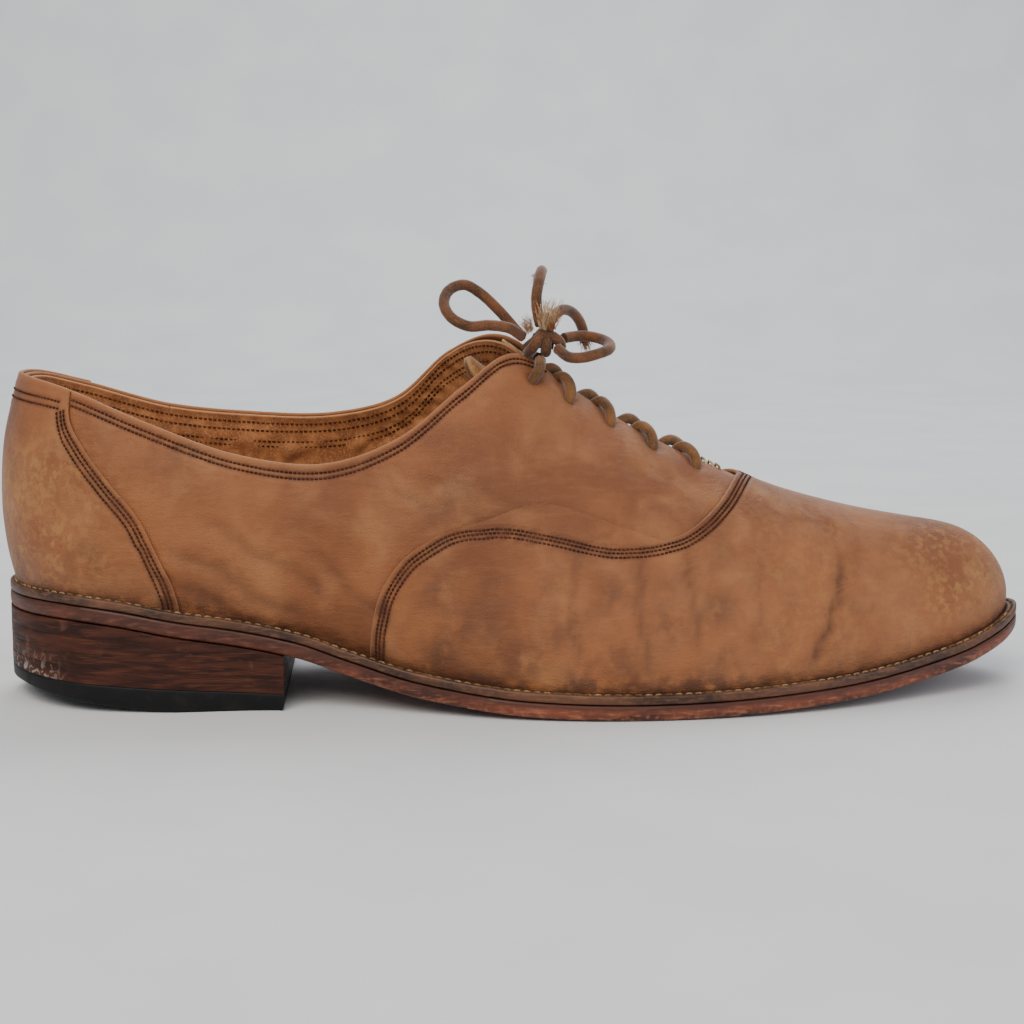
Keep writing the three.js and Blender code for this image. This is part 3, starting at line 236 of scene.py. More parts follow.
class Last:
    """The shoe-last surface: stations round the foot, and height 0 at the sole to 1 at the top."""

    def __init__(self) -> None:
        """Turns the tables of stations into closed rings round the foot."""
        def ring(rows: Sequence[Sequence[float]], pick: Callable[[Sequence[float], int], tuple]) -> Array:
            """A closed ring: the outer rows, then the inner ones back again."""
            outer = [pick(r, 0) for r in rows]
            inner = [pick(r, 1) for r in rows]
            return np.array([*outer, *inner[1:-1][::-1]], float)

        self.foot = ring(FOOT, lambda r, s: (r[0], r[1 + s]))
        self.top = ring(TOP, lambda r, s: (r[s], r[2 + s], r[4 + s]))
        self.bulge_low = ring(BULGE, lambda r, s: r[:2])
        self.bulge_high = ring(BULGE, lambda r, s: r[2:])

    @staticmethod
    def feather_height(x: Array) -> Array:
        """Height of the feather line above the ground at x: a cubic Hermite through its profile."""
        xs, zs = FEATHER_PROFILE.T
        slope = np.empty(len(xs))
        slope[1:-1] = (zs[2:] - zs[:-2]) / (xs[2:] - xs[:-2])
        slope[0] = (zs[1] - zs[0]) / (xs[1] - xs[0])
        slope[-1] = (zs[-1] - zs[-2]) / (xs[-1] - xs[-2])
        i = np.clip(np.searchsorted(xs, x, side="right") - 1, 0, len(xs) - 2)
        h = xs[i + 1] - xs[i]
        s = (x - xs[i]) / h
        level = (2 * s**3 - 3 * s**2 + 1) * zs[i] + (3 * s**2 - 2 * s**3) * zs[i + 1]
        return level + (s**3 - 2 * s**2 + s) * h * slope[i] + (s**3 - s**2) * h * slope[i + 1]

    def plan(self, u: Array, offset: Any = 0.0) -> Array:
        """Points of the feather line, moved out in plan by offset, at the feather's height."""
        flat = spline(self.foot, np.asarray(u, float) / RING, True)
        z = self.feather_height(flat[..., 0])
        flat = flat + self.plan_normal(u) * np.asarray(offset, float)[..., None]
        return np.concatenate([flat, z[..., None]], -1)

    def plan_normal(self, u: Array) -> Array:
        """Outward normal of the feather line in plan."""
        step = 0.004
        u = np.asarray(u, float)
        way = spline(self.foot, (u + step) / RING, True) - spline(self.foot, (u - step) / RING, True)
        return unit(np.stack([way[..., 1], -way[..., 0]], -1))

    def point(self, u: Array, v: Array) -> Array:
        """Points of the last at stations u and heights v."""
        u, v = np.broadcast_arrays(np.asarray(u, float), np.asarray(v, float))
        t = u / RING
        foot = self.plan(u)
        top = spline(self.top, t, True)
        low = spline(self.bulge_low, t, True)
        high = spline(self.bulge_high, t, True)
        out = self.plan_normal(u)
        p1 = foot + np.concatenate([out * low[..., :1], low[..., 1:]], -1)
        p2 = top + np.concatenate([out * high[..., :1], high[..., 1:]], -1)
        v = v[..., None]
        w = 1 - v
        return w**3 * foot + 3 * w * w * v * p1 + 3 * w * v * v * p2 + v**3 * top

    def plain_normal(self, u: Array, v: Array) -> Array:
        """Outward normal from the surface's own slopes."""
        vv = np.clip(v, 0.01, 0.98)
        along_u = self.point(u + 0.01, vv) - self.point(u - 0.01, vv)
        along_v = self.point(u, vv + 0.005) - self.point(u, vv - 0.005)
        return unit(np.cross(along_u, along_v))

    @staticmethod
    def folded(u: Array) -> Array:
        """Station counted from the heel, whichever side it is on."""
        m = np.mod(u, RING)
        return np.minimum(m, RING - m)

    def normal(self, u: Array, v: Array) -> Array:
        """Outward normal that both sides share along the ridge."""
        u, v = np.broadcast_arrays(np.asarray(u, float), np.asarray(v, float))
        plain = self.plain_normal(u, v)
        share = (smooth(8.2, 9.2, self.folded(u)) * smooth(0.75, 1, v))[..., None]
        ridge = unit(self.plain_normal(u, np.full_like(u, 0.98)) + self.plain_normal(RING - u,
                                                                                     np.full_like(u, 0.98)))
        return unit(lerp(plain, ridge, share))

    def relief(self, u: Array, v: Array, p: Array) -> tuple[Array, Array]:
        """Creases and slackness of the worn leather.

        Args:
            u: stations.
            v: heights.
            p: the points of the last there.

        Returns:
            How far each point moves outwards in mm, and how much painted shade darkens its crease.
        """
        m = self.folded(u)
        inner = np.mod(u, RING) > RING / 2
        x, z = p[..., 0], p[..., 2]
        strength = np.where(inner, 0.75, 1.0)
        nudge = np.where(inner, 4.0, 0.0)
        move = np.zeros_like(x)
        crease_shade = np.zeros_like(x)
        # Painted shade: each crease's groove is also darkened in colour, besides its relief.
        for crease in CREASES:
            fold, groove_shade = crease.fold(x + nudge, z)
            move += fold * strength
            crease_shade = np.maximum(crease_shade, groove_shade * strength)
        flex = smooth(150, 190, x) * (1 - smooth(240, 262, x))
        move += flex * 0.28 * waves(p * np.array([1.6, 0.4, 0.6]), 11, 5)
        move += 0.32 * waves(p, 34, 11) + 0.12 * waves(p, 13, 12)
        front = smooth(100, 116, x) * (1 - smooth(140, 160, x))
        front = front * smooth(0.55, 0.75, v) * (1 - smooth(0.93, 0.98, v))
        phase = (z * 0.94 + x * 0.36) / 0.7 + 1.6 * waves(p, 17, 21)
        move += front * 0.16 * np.sin(phase)
        still = smooth(8.3, 9.3, m) * smooth(0.72, 0.86, v)
        edge = smooth(0.9, 0.99, v) * (1 - smooth(8.3, 9, m))
        toe = 0.6 * smooth(258, 285, x)
        heel = 0.5 * (1 - smooth(20, 60, x))
        keep = (1 - still) * (1 - 0.6 * edge) * (1 - toe) * (1 - heel) * smooth(-0.2, 0.08, v)
        return move * keep, crease_shade * (1 - still)

    def layer(self, u: Array, v: Array, offset: Any) -> Array:
        """Points offset outwards from the creased last. Below height 0 they hang as a skirt."""
        u, v = np.broadcast_arrays(np.asarray(u, float), np.asarray(v, float))
        offset = np.broadcast_to(np.asarray(offset, float), u.shape)
        high = np.maximum(v, 0)
        base = self.point(u, high)
        move, _ = self.relief(u, v, base)
        p = base + self.normal(u, high) * (offset + move)[..., None]
        skirt = self.plan(u, offset)
        skirt[..., 2] += v * SKIRT_MM
        return np.where((v < 0)[..., None], skirt, p)

    def below_edge(self, u: float, distance: Array) -> Array:
        """Heights at which the section at u is given distances, straight, below its top edge."""
        v = np.linspace(1, 0.35, 131)
        p = self.point(np.full_like(v, u), v)
        return np.interp(distance, np.linalg.norm(p - p[0], axis=-1), v)

    def beside(self, u: Array, v: Array, distance: float) -> tuple[Array, Array]:
        """Moves a line of stations and heights sideways over the surface.

        Args:
            u: stations along the line.
            v: heights along the line.
            distance: mm to the left of its direction, seen from outside.

        Returns:
            The moved line's stations and heights.
        """
        p = self.point(u, v)
        way = unit(np.gradient(p, axis=0))
        left = np.cross(self.plain_normal(u, v), way) * distance
        pu = (self.point(u + 0.01, v) - self.point(u - 0.01, v)) / 0.02
        pv = (self.point(u, v + 0.004) - self.point(u, v - 0.004)) / 0.008
        uu, uv, vv = (pu * pu).sum(-1), (pu * pv).sum(-1), (pv * pv).sum(-1)
        lu, lv = (left * pu).sum(-1), (left * pv).sum(-1)
        det = uu * vv - uv * uv
        return u + (lu * vv - lv * uv) / det, v + (lv * uu - lu * uv) / det


LAST = Last()


# ---- Seams, layers and edges, in stations and heights, as in the CAD part ------------------------

VAMP_SEAM = [
    (5.2, -2), (5.25, 0), (5.45, 0.3), (5.85, 0.49), (6.4, 0.555), (7.1, 0.53), (8, 0.458), (9, 0.45),
    (9.9, 0.52), (10.5, 0.63), (10.95, 0.76), (11.35, 0.93), (11.5, 1.03), (11.55, 1.1),
]
UNDERLAP = [
    (5.75, -2), (5.78, 0), (5.95, 0.22), (6.3, 0.4), (7.1, 0.42), (8, 0.35), (9, 0.34), (10, 0.41),
    (10.7, 0.52), (11.3, 0.66), (11.75, 0.82), (12, 0.95), (12.1, 1.1),
]
COUNTER_EDGE = [
    (3.24, -2), (3.24, 0), (3.2, 0.12), (3.08, 0.27), (2.88, 0.46), (2.56, 0.6), (2.24, 0.74),
    (2.04, 0.86), (2, 0.96), (2, 1.1),
]
UPPER_MM = 1.2
GAP_MM = 0.3
STIFF_MM = 0.9
LINING_MM = 0.8
QUARTER_OUT = -GAP_MM
QUARTER_IN = QUARTER_OUT - UPPER_MM
STIFF_OUT = QUARTER_IN - GAP_MM
STIFF_IN = STIFF_OUT - STIFF_MM
FACING_GAP = 1.2
LACE_MM = 3.3
LACE_R = LACE_MM / 2
EYELETS = 5
EYELET_PITCH = 14.3
EYELET_INSET = 8.2
EYELET_FIRST = 5.0
FLANGE_TOP = STIFF_IN - GAP_MM - LINING_MM - 3 * GAP_MM
FLANGE_MM = 0.45
LACE_UNDER = FLANGE_TOP - FLANGE_MM - GAP_MM - LACE_R
LACE_OVER = QUARTER_OUT + GAP_MM + LACE_R
LACE_DIP = 0.9


def seam_line(points: Sequence[tuple[float, float]], count: int, lowest: float = -1.0) -> tuple[Array, Array]:
    """A seam as stations and heights, evenly spaced on the surface from the sole to the top edge."""
    fine = spline(np.array(points), np.linspace(0, 1, 1200), False)
    keep = fine[(fine[:, 1] >= lowest) & (fine[:, 1] <= 1.0)]
    p = LAST.point(keep[:, 0], np.maximum(keep[:, 1], 0))
    run = np.concatenate([[0], np.cumsum(np.linalg.norm(np.diff(p, axis=0), axis=1) + 1e-9)])
    at = np.linspace(0, run[-1], count)
    return np.interp(at, run, keep[:, 0]), np.interp(at, run, keep[:, 1])


def stiffened(u: Array, v: Array) -> Array:
    """1 where a stiffener lies between quarter and lining, 0 where they meet."""
    m = Last.folded(u)
    heel = (1 - smooth(4, 5, m)) * (1 - smooth(0.84, 0.98, v))
    facing = smooth(6.9, 7.7, m) * (1 - smooth(11.1, 11.9, m)) * smooth(0.63, 0.72, v)
    return np.maximum(heel, facing)


def lining_out(u: Array, v: Array) -> Array:
    """Offset of the lining's outer face."""
    return QUARTER_IN - GAP_MM - stiffened(u, v) * (STIFF_MM + GAP_MM)


def skirted(v: Array) -> Array:
    """Heights from a scale whose skirt runs only from -SKIRT_SHARE to 0, to spend few rows on it."""
    return np.where(v < 0, v / SKIRT_SHARE, v)


def welt_reach(x: Array) -> Array:
    """How far the welt stands out from the feather line."""
    return lerp(3.2, 4.8, smooth(70, 130, x))


def covered(u: Array) -> Array:
    """1 under the vamp and the counter cover, 0 where the quarter itself meets the welt."""
    m = Last.folded(u)
    return np.maximum(1 - smooth(3.36, 3.7, m), smooth(4.8, 5.15, m))


# ---- Meshes ---------------------------------------------------------------------------------------


class Frame:
    """Moves points from the last's millimetres into the row frame's metres."""

    def __init__(self) -> None:
        """Finds the shift from the last to the CAD's place, from the box of the welt."""
        edge = LAST.plan(np.arange(0, RING, 0.5))
        edge = LAST.plan(np.arange(0, RING, 0.5), welt_reach(edge[:, 0]))
        low, high = (np.array(c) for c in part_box("welt"))
        middle = (edge.max(0) + edge.min(0)) / 2
        self.shift = np.array([middle[0], middle[1], 0.0]) - np.array([*(low + high)[:2] / 2, 0.0]) / MM

    def row(self, p: Array) -> Array:
        """Points of the last, in mm, as points of the row frame, in metres."""
        return (np.asarray(p, float) - self.shift) * MM


class Mesh:
    """A mesh in the making: points in the last's mm, faces, and one colour of wear and painted shade for each
    point.
    """

    def __init__(self) -> None:
        """Starts an empty mesh."""
        self.points: list[Array] = []
        self.faces: list[tuple[int, ...]] = []
        self.wear: list[Array] = []
        self.count = 0

    def add(self, points: Array, wear: Array | None = None) -> int:
        """Adds points, and returns the first one's number. wear is red, green, blue, alpha."""
        start = self.count
        flat = np.asarray(points, float).reshape(-1, 3)
        self.points.append(flat)
        self.wear.append(np.zeros((len(flat), 4)) if wear is None else np.asarray(wear).reshape(-1, 4))
        self.count += len(flat)
        return start

    def grid(self, start: int, rows: int, columns: int, wrap: bool = False) -> None:
        """Faces between neighbouring points of a grid that add() has added. wrap joins its last column."""
        last = columns if wrap else columns - 1
        for i in range(rows - 1):
            for j in range(last):
                k = (j + 1) % columns
                a, b = start + i * columns + j, start + i * columns + k
                self.faces.append((a, b, b + columns, a + columns))

    def build(self, name: str, frame: Frame, material: bpy.types.Material, body: str = SHOE,
              smooth_angle: float | None = None) -> bpy.types.Object:
        """Makes the object: joins points that coincide, turns faces out and rides it on its body."""
        data = bpy.data.meshes.new(name)
        data.from_pydata(frame.row(np.vstack(self.points)).tolist(), [], self.faces)
        wear = data.color_attributes.new(name="wear", type="FLOAT_COLOR", domain="POINT")
        wear.data.foreach_set("color", np.clip(np.vstack(self.wear), 0, 1).astype(np.float32).ravel())
        mesh = bmesh.new()
        mesh.from_mesh(data)
        bmesh.ops.remove_doubles(mesh, verts=mesh.verts, dist=2e-6)
        bmesh.ops.dissolve_degenerate(mesh, edges=mesh.edges, dist=1e-7)
        bmesh.ops.recalc_face_normals(mesh, faces=mesh.faces)
        mesh.to_mesh(data)
        mesh.free()
        data.shade_smooth()
        if smooth_angle is not None:
            data.set_sharp_from_angle(angle=smooth_angle)
        data.materials.append(material)
        obj = bpy.data.objects.new(name, data)
        bpy.context.scene.collection.objects.link(obj)
        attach(obj, body)
        log.info("%s: %d faces", name, len(data.polygons))
        return obj


def nearest(points: Array, line: Array) -> Array:
    """Distance in mm from each point to the nearest of the line's points."""
    tree = kdtree.KDTree(len(line))
    for i, p in enumerate(line):
        tree.insert(p, i)
    tree.balance()
    return np.array([tree.find(p)[2] for p in points.reshape(-1, 3)]).reshape(points.shape[:-1])


RIM_TURNS = tuple(math.pi * k / 6 for k in range(1, 6))


@dataclass(frozen=True)
class Shell:
    """A layer of the upper: a grid of stations and heights between two offsets.

    A rounded rim closes each edge that shows. weld leaves an edge open where it meets itself.
    """

    u: Array
    v: Array
    outer: Any
    inner: Any
    weld_end: bool = False
    grime_and_shade: float = 1.0

    def mesh(self, rows: Array | None = None, holes: Array | None = None, puckers: float = 1.0) -> Mesh:
        """Builds the closed shell.

        Args:
            rows: points of its stitch rows, which sink into the leather, with painted shade in their grooves.
            holes: points where the lace comes out, which pucker it, with painted shade round them.
            puckers: depth of the groove along the stitch rows, as a share.

        Returns:
            The mesh, with its wear and painted shade: red painted shade in the creases, green scuffs, blue
            grime with painted shade, alpha edge.
        """
        u, v = self.u, self.v
        outer = np.broadcast_to(np.asarray(self.outer, float), u.shape)
        inner = np.broadcast_to(np.asarray(self.inner, float), u.shape)
        half = (outer - inner) / 2
        face = LAST.layer(u, v, outer)
        back = LAST.layer(u, v, inner)
        normal = unit(face - back)
        base = LAST.point(u, np.maximum(v, 0))
        _, crease_shade = LAST.relief(u, v, base)
        groove = np.zeros_like(u)
        if rows is not None:
            away = nearest(face, rows)
            groove = np.exp(-((away / 0.75) ** 2))
            between = np.exp(-(((away - 1.6) / 0.9) ** 2))
            face = face + normal * (0.12 * between - 0.3 * groove)[..., None] * puckers
        hole = np.zeros_like(u)
        if holes is not None:
            hole = np.exp(-((nearest(face, holes) / 2.5) ** 2))
            face = face - normal * (0.75 * hole)[..., None]
        wear = worn_and_shaded(face, v, crease_shade, groove, hole, self.grime_and_shade)
        build = Mesh()
        n, m = u.shape
        loop, tints = closed_columns(face, back, normal, half, wear)
        start = build.add(loop, tints)
        around = loop.shape[1]
        build.grid(start, n, around, wrap=True)
        ends = [0] if self.weld_end else [0, n - 1]
        for i in ends:
            close_end(build, loop, tints, start, i, m)
        return build


def closed_columns(face: Array, back: Array, normal: Array, half: Array, wear: Array,
                   bulge: float = 1.0) -> tuple[Array, Array]:
    """Makes each column of a layer a closed loop: up its face, round a rim, down its back and round.

    Args:
        face: (n, m, 3) points of its face.
        back: those of its back.
        normal: from back to face.
        half: (n, m) half of its thickness.
        wear: (n, m, 4) its wear.
        bulge: how round the rims are, as a share of half its thickness.

    Returns:
        The loops' points and wear.
    """
    middle = (face + back) / 2
    points, tints = [], []
    for edge, inwards, turns in ((-1, -2, RIM_TURNS), (0, 1, RIM_TURNS[::-1])):
        tangent = unit(middle[:, edge] - middle[:, inwards])
        rise, reach = normal[:, edge] * half[:, edge, None], tangent * half[:, edge, None] * bulge
        points.append(np.stack([middle[:, edge] + rise * math.cos(t) + reach * math.sin(t) for t in turns],
                               1))
        tint = np.repeat(wear[:, edge][:, None], len(turns), 1)
        tint[..., 3] = 1.0
        tints.append(tint)
    loop = np.concatenate([face, points[0], back[:, ::-1], points[1]], 1)
    return loop, np.concatenate([wear, tints[0], wear[:, ::-1], tints[1]], 1)


def close_end(build: Mesh, loop: Array, tints: Array, start: int, i: int, m: int) -> None:
    """Closes an end column with a rounded strip between its two faces.

    Args:
        build: the mesh that holds the loops.
        loop: the loops' points.
        tints: their wear.
        start: number of the first of them in the mesh.
        i: the column, which is the first or the last.
        m: points up its face.
    """
    around = loop.shape[1]
    neighbour = 1 if i == 0 else i - 1
    rims = (around - 2 * m) // 2
    outer = np.arange(m)
    inner = 2 * m + rims - 1 - outer
    centre = (loop[i, outer] + loop[i, inner]) / 2
    behind = (loop[neighbour, outer] + loop[neighbour, inner]) / 2
    half = np.linalg.norm(loop[i, outer] - loop[i, inner], axis=-1, keepdims=True) / 2
    bulge = centre + unit(centre - behind) * half * 0.8
    marks = tints[i, outer].copy()
    marks[:, 3] = 1.0
    ridge = build.add(bulge, marks)
    for j in range(m - 1):
        a, b = start + i * around + j, start + i * around + j + 1
        c, d = start + i * around + int(inner[j]), start + i * around + int(inner[j + 1])
        build.faces.append((a, b, ridge + j + 1, ridge + j))
        build.faces.append((ridge + j, ridge + j + 1, d, c))
    top = [start + i * around + m - 1 + k for k in range(rims + 2)]
    build.faces.append((*top, ridge + m - 1))
    low = [start + i * around + (2 * m + rims - 1 + k) % around for k in range(rims + 2)]
    build.faces.append((*low, ridge))


def worn_and_shaded(p: Array, v: Array, crease_shade: Array, groove: Array, hole: Array, grime_and_shade: float) -> Array:
    """Wear and painted shade at points p: painted shade in the creases, scuffs, grime with painted shade, and
    edge, each 0 to 1.
    """
    x, z = p[..., 0], p[..., 2]
    above = z - Last.feather_height(x)
    patch = 0.5 + 0.5 * waves(p, 16, 31)
    heel = (1 - smooth(14, 46, x)) * smooth(30, 44, z) * (1 - smooth(62, 92, z))
    toe = smooth(252, 285, x) * smooth(1, 9, above)
    side = 0.35 * smooth(205, 230, x) * (1 - smooth(250, 262, x))
    scuff = np.clip((heel + 0.85 * toe + side) * (0.45 + 0.75 * patch), 0, 1)
    # Blue: painted shade, darkest just above the welt, in the stitch grooves and round the lace holes; the
    # flank term darkens blotches low on the middle of the side, and the waves add darker tone at random.
    low = np.exp(-np.maximum(above, 0) / 3.2)
    flank = smooth(112, 132, x) * (1 - smooth(205, 236, x)) * (1 - smooth(24, 46, above))
    dark = low + 0.55 * flank * patch + 0.8 * groove + 0.9 * hole
    dark = dark + 0.35 * smooth(0.5, 1.3, waves(p, 21, 33))
    edge = smooth(0.985, 1.0, v) * 0.5
    return np.stack([crease_shade, scuff, np.clip(dark * grime_and_shade, 0, 1), edge], -1)


def spaced(low: float, high: float, count: int, fine_low: float = 0.0, fine_high: float = 0.0) -> Array:
    """Values from low to high, closer together towards an end as fine_low or fine_high go to 1."""
    s = np.linspace(0, 1, count)
    s = s - fine_low * np.sin(np.pi * s) / math.pi * 0.9 + fine_high * np.sin(np.pi * s) / math.pi * 0.9
    return lerp(low, high, s)


# ---- Materials ------------------------------------------------------------------------------------


def colour(code: str) -> tuple[float, float, float, float]:
    """Linear colour of an sRGB hex code."""
    parts = [int(code[i:i + 2], 16) / 255 for i in (1, 3, 5)]
    red, green, blue = (c / 12.92 if c <= 0.04045 else ((c + 0.055) / 1.055) ** 2.4 for c in parts)
    return red, green, blue, 1.0


class NodeTree:
    """A node tree in the making."""

    def __init__(self, tree: bpy.types.NodeTree) -> None:
        """Takes the tree that add() fills."""
        self.tree = tree

    def add(self, kind: str, inputs: dict[Any, Any] | None = None, **settings: Any) -> bpy.types.Node:
        """Adds a node with its settings and links.

        Args:
            kind: the node's type.
            inputs: a value or another node's output for each of its sockets.
            settings: the node's own properties.

        Returns:
            The node.
        """
        node = self.tree.nodes.new(kind)
        for key, value in settings.items():
            setattr(node, key, value)
        for key, value in (inputs or {}).items():
            if isinstance(value, bpy.types.NodeSocket):
                self.tree.links.new(value, node.inputs[key])
            else:
                node.inputs[key].default_value = value
        return node


@dataclass(frozen=True)
class Grain:
    """A natural grain of a real size, drawn out along an axis where it is fibrous."""

    size_mm: float
    detail: float = 4
    stretch: tuple[float, float, float] | None = None
    distortion: float = 0.0


@dataclass(frozen=True)
class Tone:
    """A colour laid over what is under it, in blotches of a grain, where a channel of wear and painted shade
    lets it.
    """

    tint: str
    grain: Grain | None = None
    band: tuple[float, float] = (0.0, 1.0)
    share: float = 1.0
    channel: str | None = None
    strength: float = 1.0


class Material(NodeTree):
    """A material built up as a maker would: a ground colour, tones over it, then gloss and relief."""

    def __init__(self, name: str) -> None:
        """Starts an empty material on Object coordinates."""
        self.made = bpy.data.materials.new(name)
        self.made.use_nodes = True
        super().__init__(self.made.node_tree)
        self.tree.nodes.clear()
        self.output = self.tree.nodes.new("ShaderNodeOutputMaterial")
        self.place = self.add("ShaderNodeTexCoord").outputs["Object"]
        self.patterns: dict[Grain, bpy.types.NodeSocket] = {}
        self.channels: dict[str, bpy.types.NodeSocket] = {}

    def channel(self, name: str) -> bpy.types.NodeSocket:
        """A channel of wear and painted shade that the mesh carries: crease (painted shade), scuff, grime
        (grime and painted shade) or edge.
        """
        if not self.channels:
            wear = self.add("ShaderNodeAttribute", attribute_name="wear", attribute_type="GEOMETRY")
            parts = self.add("ShaderNodeSeparateColor", {"Color": wear.outputs["Color"]}).outputs
            self.channels = dict(zip(("crease", "scuff", "grime_and_shade"), parts))
            self.channels["edge"] = wear.outputs["Alpha"]
        return self.channels[name]

    def pattern(self, grain: Grain) -> bpy.types.NodeSocket:
        """A grain's noise, made once for each grain."""
        if grain not in self.patterns:
            place = self.place
            if grain.stretch:
                place = self.add("ShaderNodeMapping", {"Vector": place, "Scale": grain.stretch}).outputs[0]
            wanted = {"Scale": 1 / (grain.size_mm * MM), "Detail": grain.detail,
                      "Distortion": grain.distortion}
            made = self.add("ShaderNodeTexNoise", {"Vector": place, **wanted})
            self.patterns[grain] = made.outputs["Fac"]
        return self.patterns[grain]

    def ribs(self, scale: float, rotation: tuple[float, float, float],
             distortion: float) -> bpy.types.NodeSocket:
        """Parallel ridges, as of twill or twisted plies, turned across the piece."""
        turned = self.add("ShaderNodeMapping", {"Vector": self.place, "Rotation": rotation}).outputs[0]
        wanted = {"Vector": turned, "Scale": scale, "Distortion": distortion}
        return self.add("ShaderNodeTexWave", wanted).outputs["Fac"]

    def blotches(self, tone: Tone) -> bpy.types.NodeSocket:
        """Where a tone lies: its grain between the ends of its band, limited by its channel."""
        where = None
        if tone.grain:
            wanted = {0: self.pattern(tone.grain), 1: tone.band[0], 2: tone.band[1], 4: tone.share}
            where = self.add("ShaderNodeMapRange", wanted, interpolation_type="SMOOTHSTEP").outputs[0]
        if tone.channel:
            limit = self.channel(tone.channel)
            where = self.blend("MULTIPLY", limit, where) if where else limit
        return where

    def blend(self, operation: str, a: Any, b: Any) -> bpy.types.NodeSocket:
        """Two values, as a product, sum or difference."""
        return self.add("ShaderNodeMath", {0: a, 1: b}, operation=operation).outputs[0]

    def cover(self, under: Any, where: Any, tint: str, strength: float = 1.0) -> bpy.types.NodeSocket:
        """Lays one colour over another where it is wanted."""
        share = where if strength == 1.0 else self.blend("MULTIPLY", where, strength)
        wanted = {0: share, 6: under, 7: colour(tint)}
        return self.add("ShaderNodeMix", wanted, data_type="RGBA").outputs[2]

    def lay(self, ground: str, *tones: Tone) -> bpy.types.NodeSocket:
        """Lays tones over a ground colour, in order."""
        base: Any = colour(ground)
        for tone in tones:
            base = self.cover(base, self.blotches(tone), tone.tint, tone.strength)
        return base

    def gloss(self, least: float, grain: Grain, band: tuple[float, float],
              more: float) -> bpy.types.NodeSocket:
        """Roughness that rises with a grain."""
        return self.blend("ADD", self.blotches(Tone("", grain, band, more)), least)

    def finish(self, base: Any, roughness: Any, relief: Sequence[tuple[Any, float]] = (),
               **shader: Any) -> bpy.types.Material:
        """Ends the material.

        Args:
            base: its colour.
            roughness: its roughness.
            relief: grains or other heights, each with its depth in mm.
            shader: values of the shader's other sockets.

        Returns:
            The material.
        """
        values = {name.replace("_", " "): value for name, value in shader.items()}
        values |= {"Base Color": base, "Roughness": roughness}
        for height, depth in relief:
            if isinstance(height, Grain):
                height = self.pattern(height)
            bump = {"Height": height, "Distance": depth * MM, "Strength": 1.0}
            if "Normal" in values:
                bump["Normal"] = values["Normal"]
            values["Normal"] = self.add("ShaderNodeBump", bump).outputs[0]
        shader_node = self.add("ShaderNodeBsdfPrincipled", values)
        self.tree.links.new(shader_node.outputs[0], self.output.inputs[0])
        return self.made


@dataclass(frozen=True)
class CalfLeather:
    """Aniline calf: mottled in three sizes, scuffed to a pale nap, with painted shade in its creases, and
    grime and painted shade along its seams.
    """

    deep: str = "#703e1c"
    body: str = "#8f562e"
    pale: str = "#9f6b40"
    nap: str = "#a87c48"
    grime_and_shade: str = "#3f2212"
    edge: str = "#a26b3e"
    pore_mm: float = 0.8
    roughness: float = 0.62

    def make(self, name: str) -> bpy.types.Material:
        """The material."""
        m = Material(name)
        scuffed = Tone(self.nap, Grain(2.4, 9, distortion=0.3), (0.46, 0.6), 1.0, "scuff", 0.5)
        base = m.lay(
            self.deep,
            Tone(self.body, Grain(48, 5), (0.35, 0.65)),
            Tone(self.pale, Grain(17, 6, distortion=0.6), (0.42, 0.72), 0.55),
            Tone(self.deep, Grain(3.2, 5), (0.5, 0.8), 0.35),
            Tone(self.pale, Grain(2.4, 6, (0.35, 1, 1.6)), (0.48, 0.75), 0.14),
            Tone(self.grime_and_shade, Grain(1.3, 3), (0.7, 0.78), 0.5),
            scuffed,
            Tone(self.deep, Grain(1.5, 7, distortion=0.2), (0.56, 0.68), 0.5, "scuff"),
            # Grime in blotches, plus painted shade above the welt, in the stitch grooves and round the lace
            # holes.
            Tone(self.grime_and_shade, Grain(4.5, 6), (0.25, 0.6), 1.0, "grime_and_shade", 0.8),
            # Painted shade in the creases.
            Tone(self.grime_and_shade, channel="crease", strength=0.7),
            Tone(self.edge, channel="edge", strength=0.75),
        )
        cells = m.add("ShaderNodeTexVoronoi", {"Vector": m.place, "Scale": 1 / (self.pore_mm * MM)},
                      feature="DISTANCE_TO_EDGE").outputs["Distance"]
        pores = m.add("ShaderNodeMapRange", {0: cells, 2: 0.28}, interpolation_type="SMOOTHSTEP").outputs[0]
        bare = m.blotches(scuffed)
        rough = m.blend("ADD", m.blend("MULTIPLY", bare, 0.2), self.roughness)
        rubbed = m.blotches(Tone("", Grain(9), (0.45, 0.75), 0.12))
        relief = [(pores, 0.06), (Grain(0.45), 0.08), (Grain(2.2, 7, (0.6, 1, 1.9)), 0.26), (bare, -0.12)]
        return m.finish(base, m.blend("SUBTRACT", rough, rubbed), relief, Specular_IOR_Level=0.38,
                        Sheen_Weight=0.12, Sheen_Roughness=0.5)


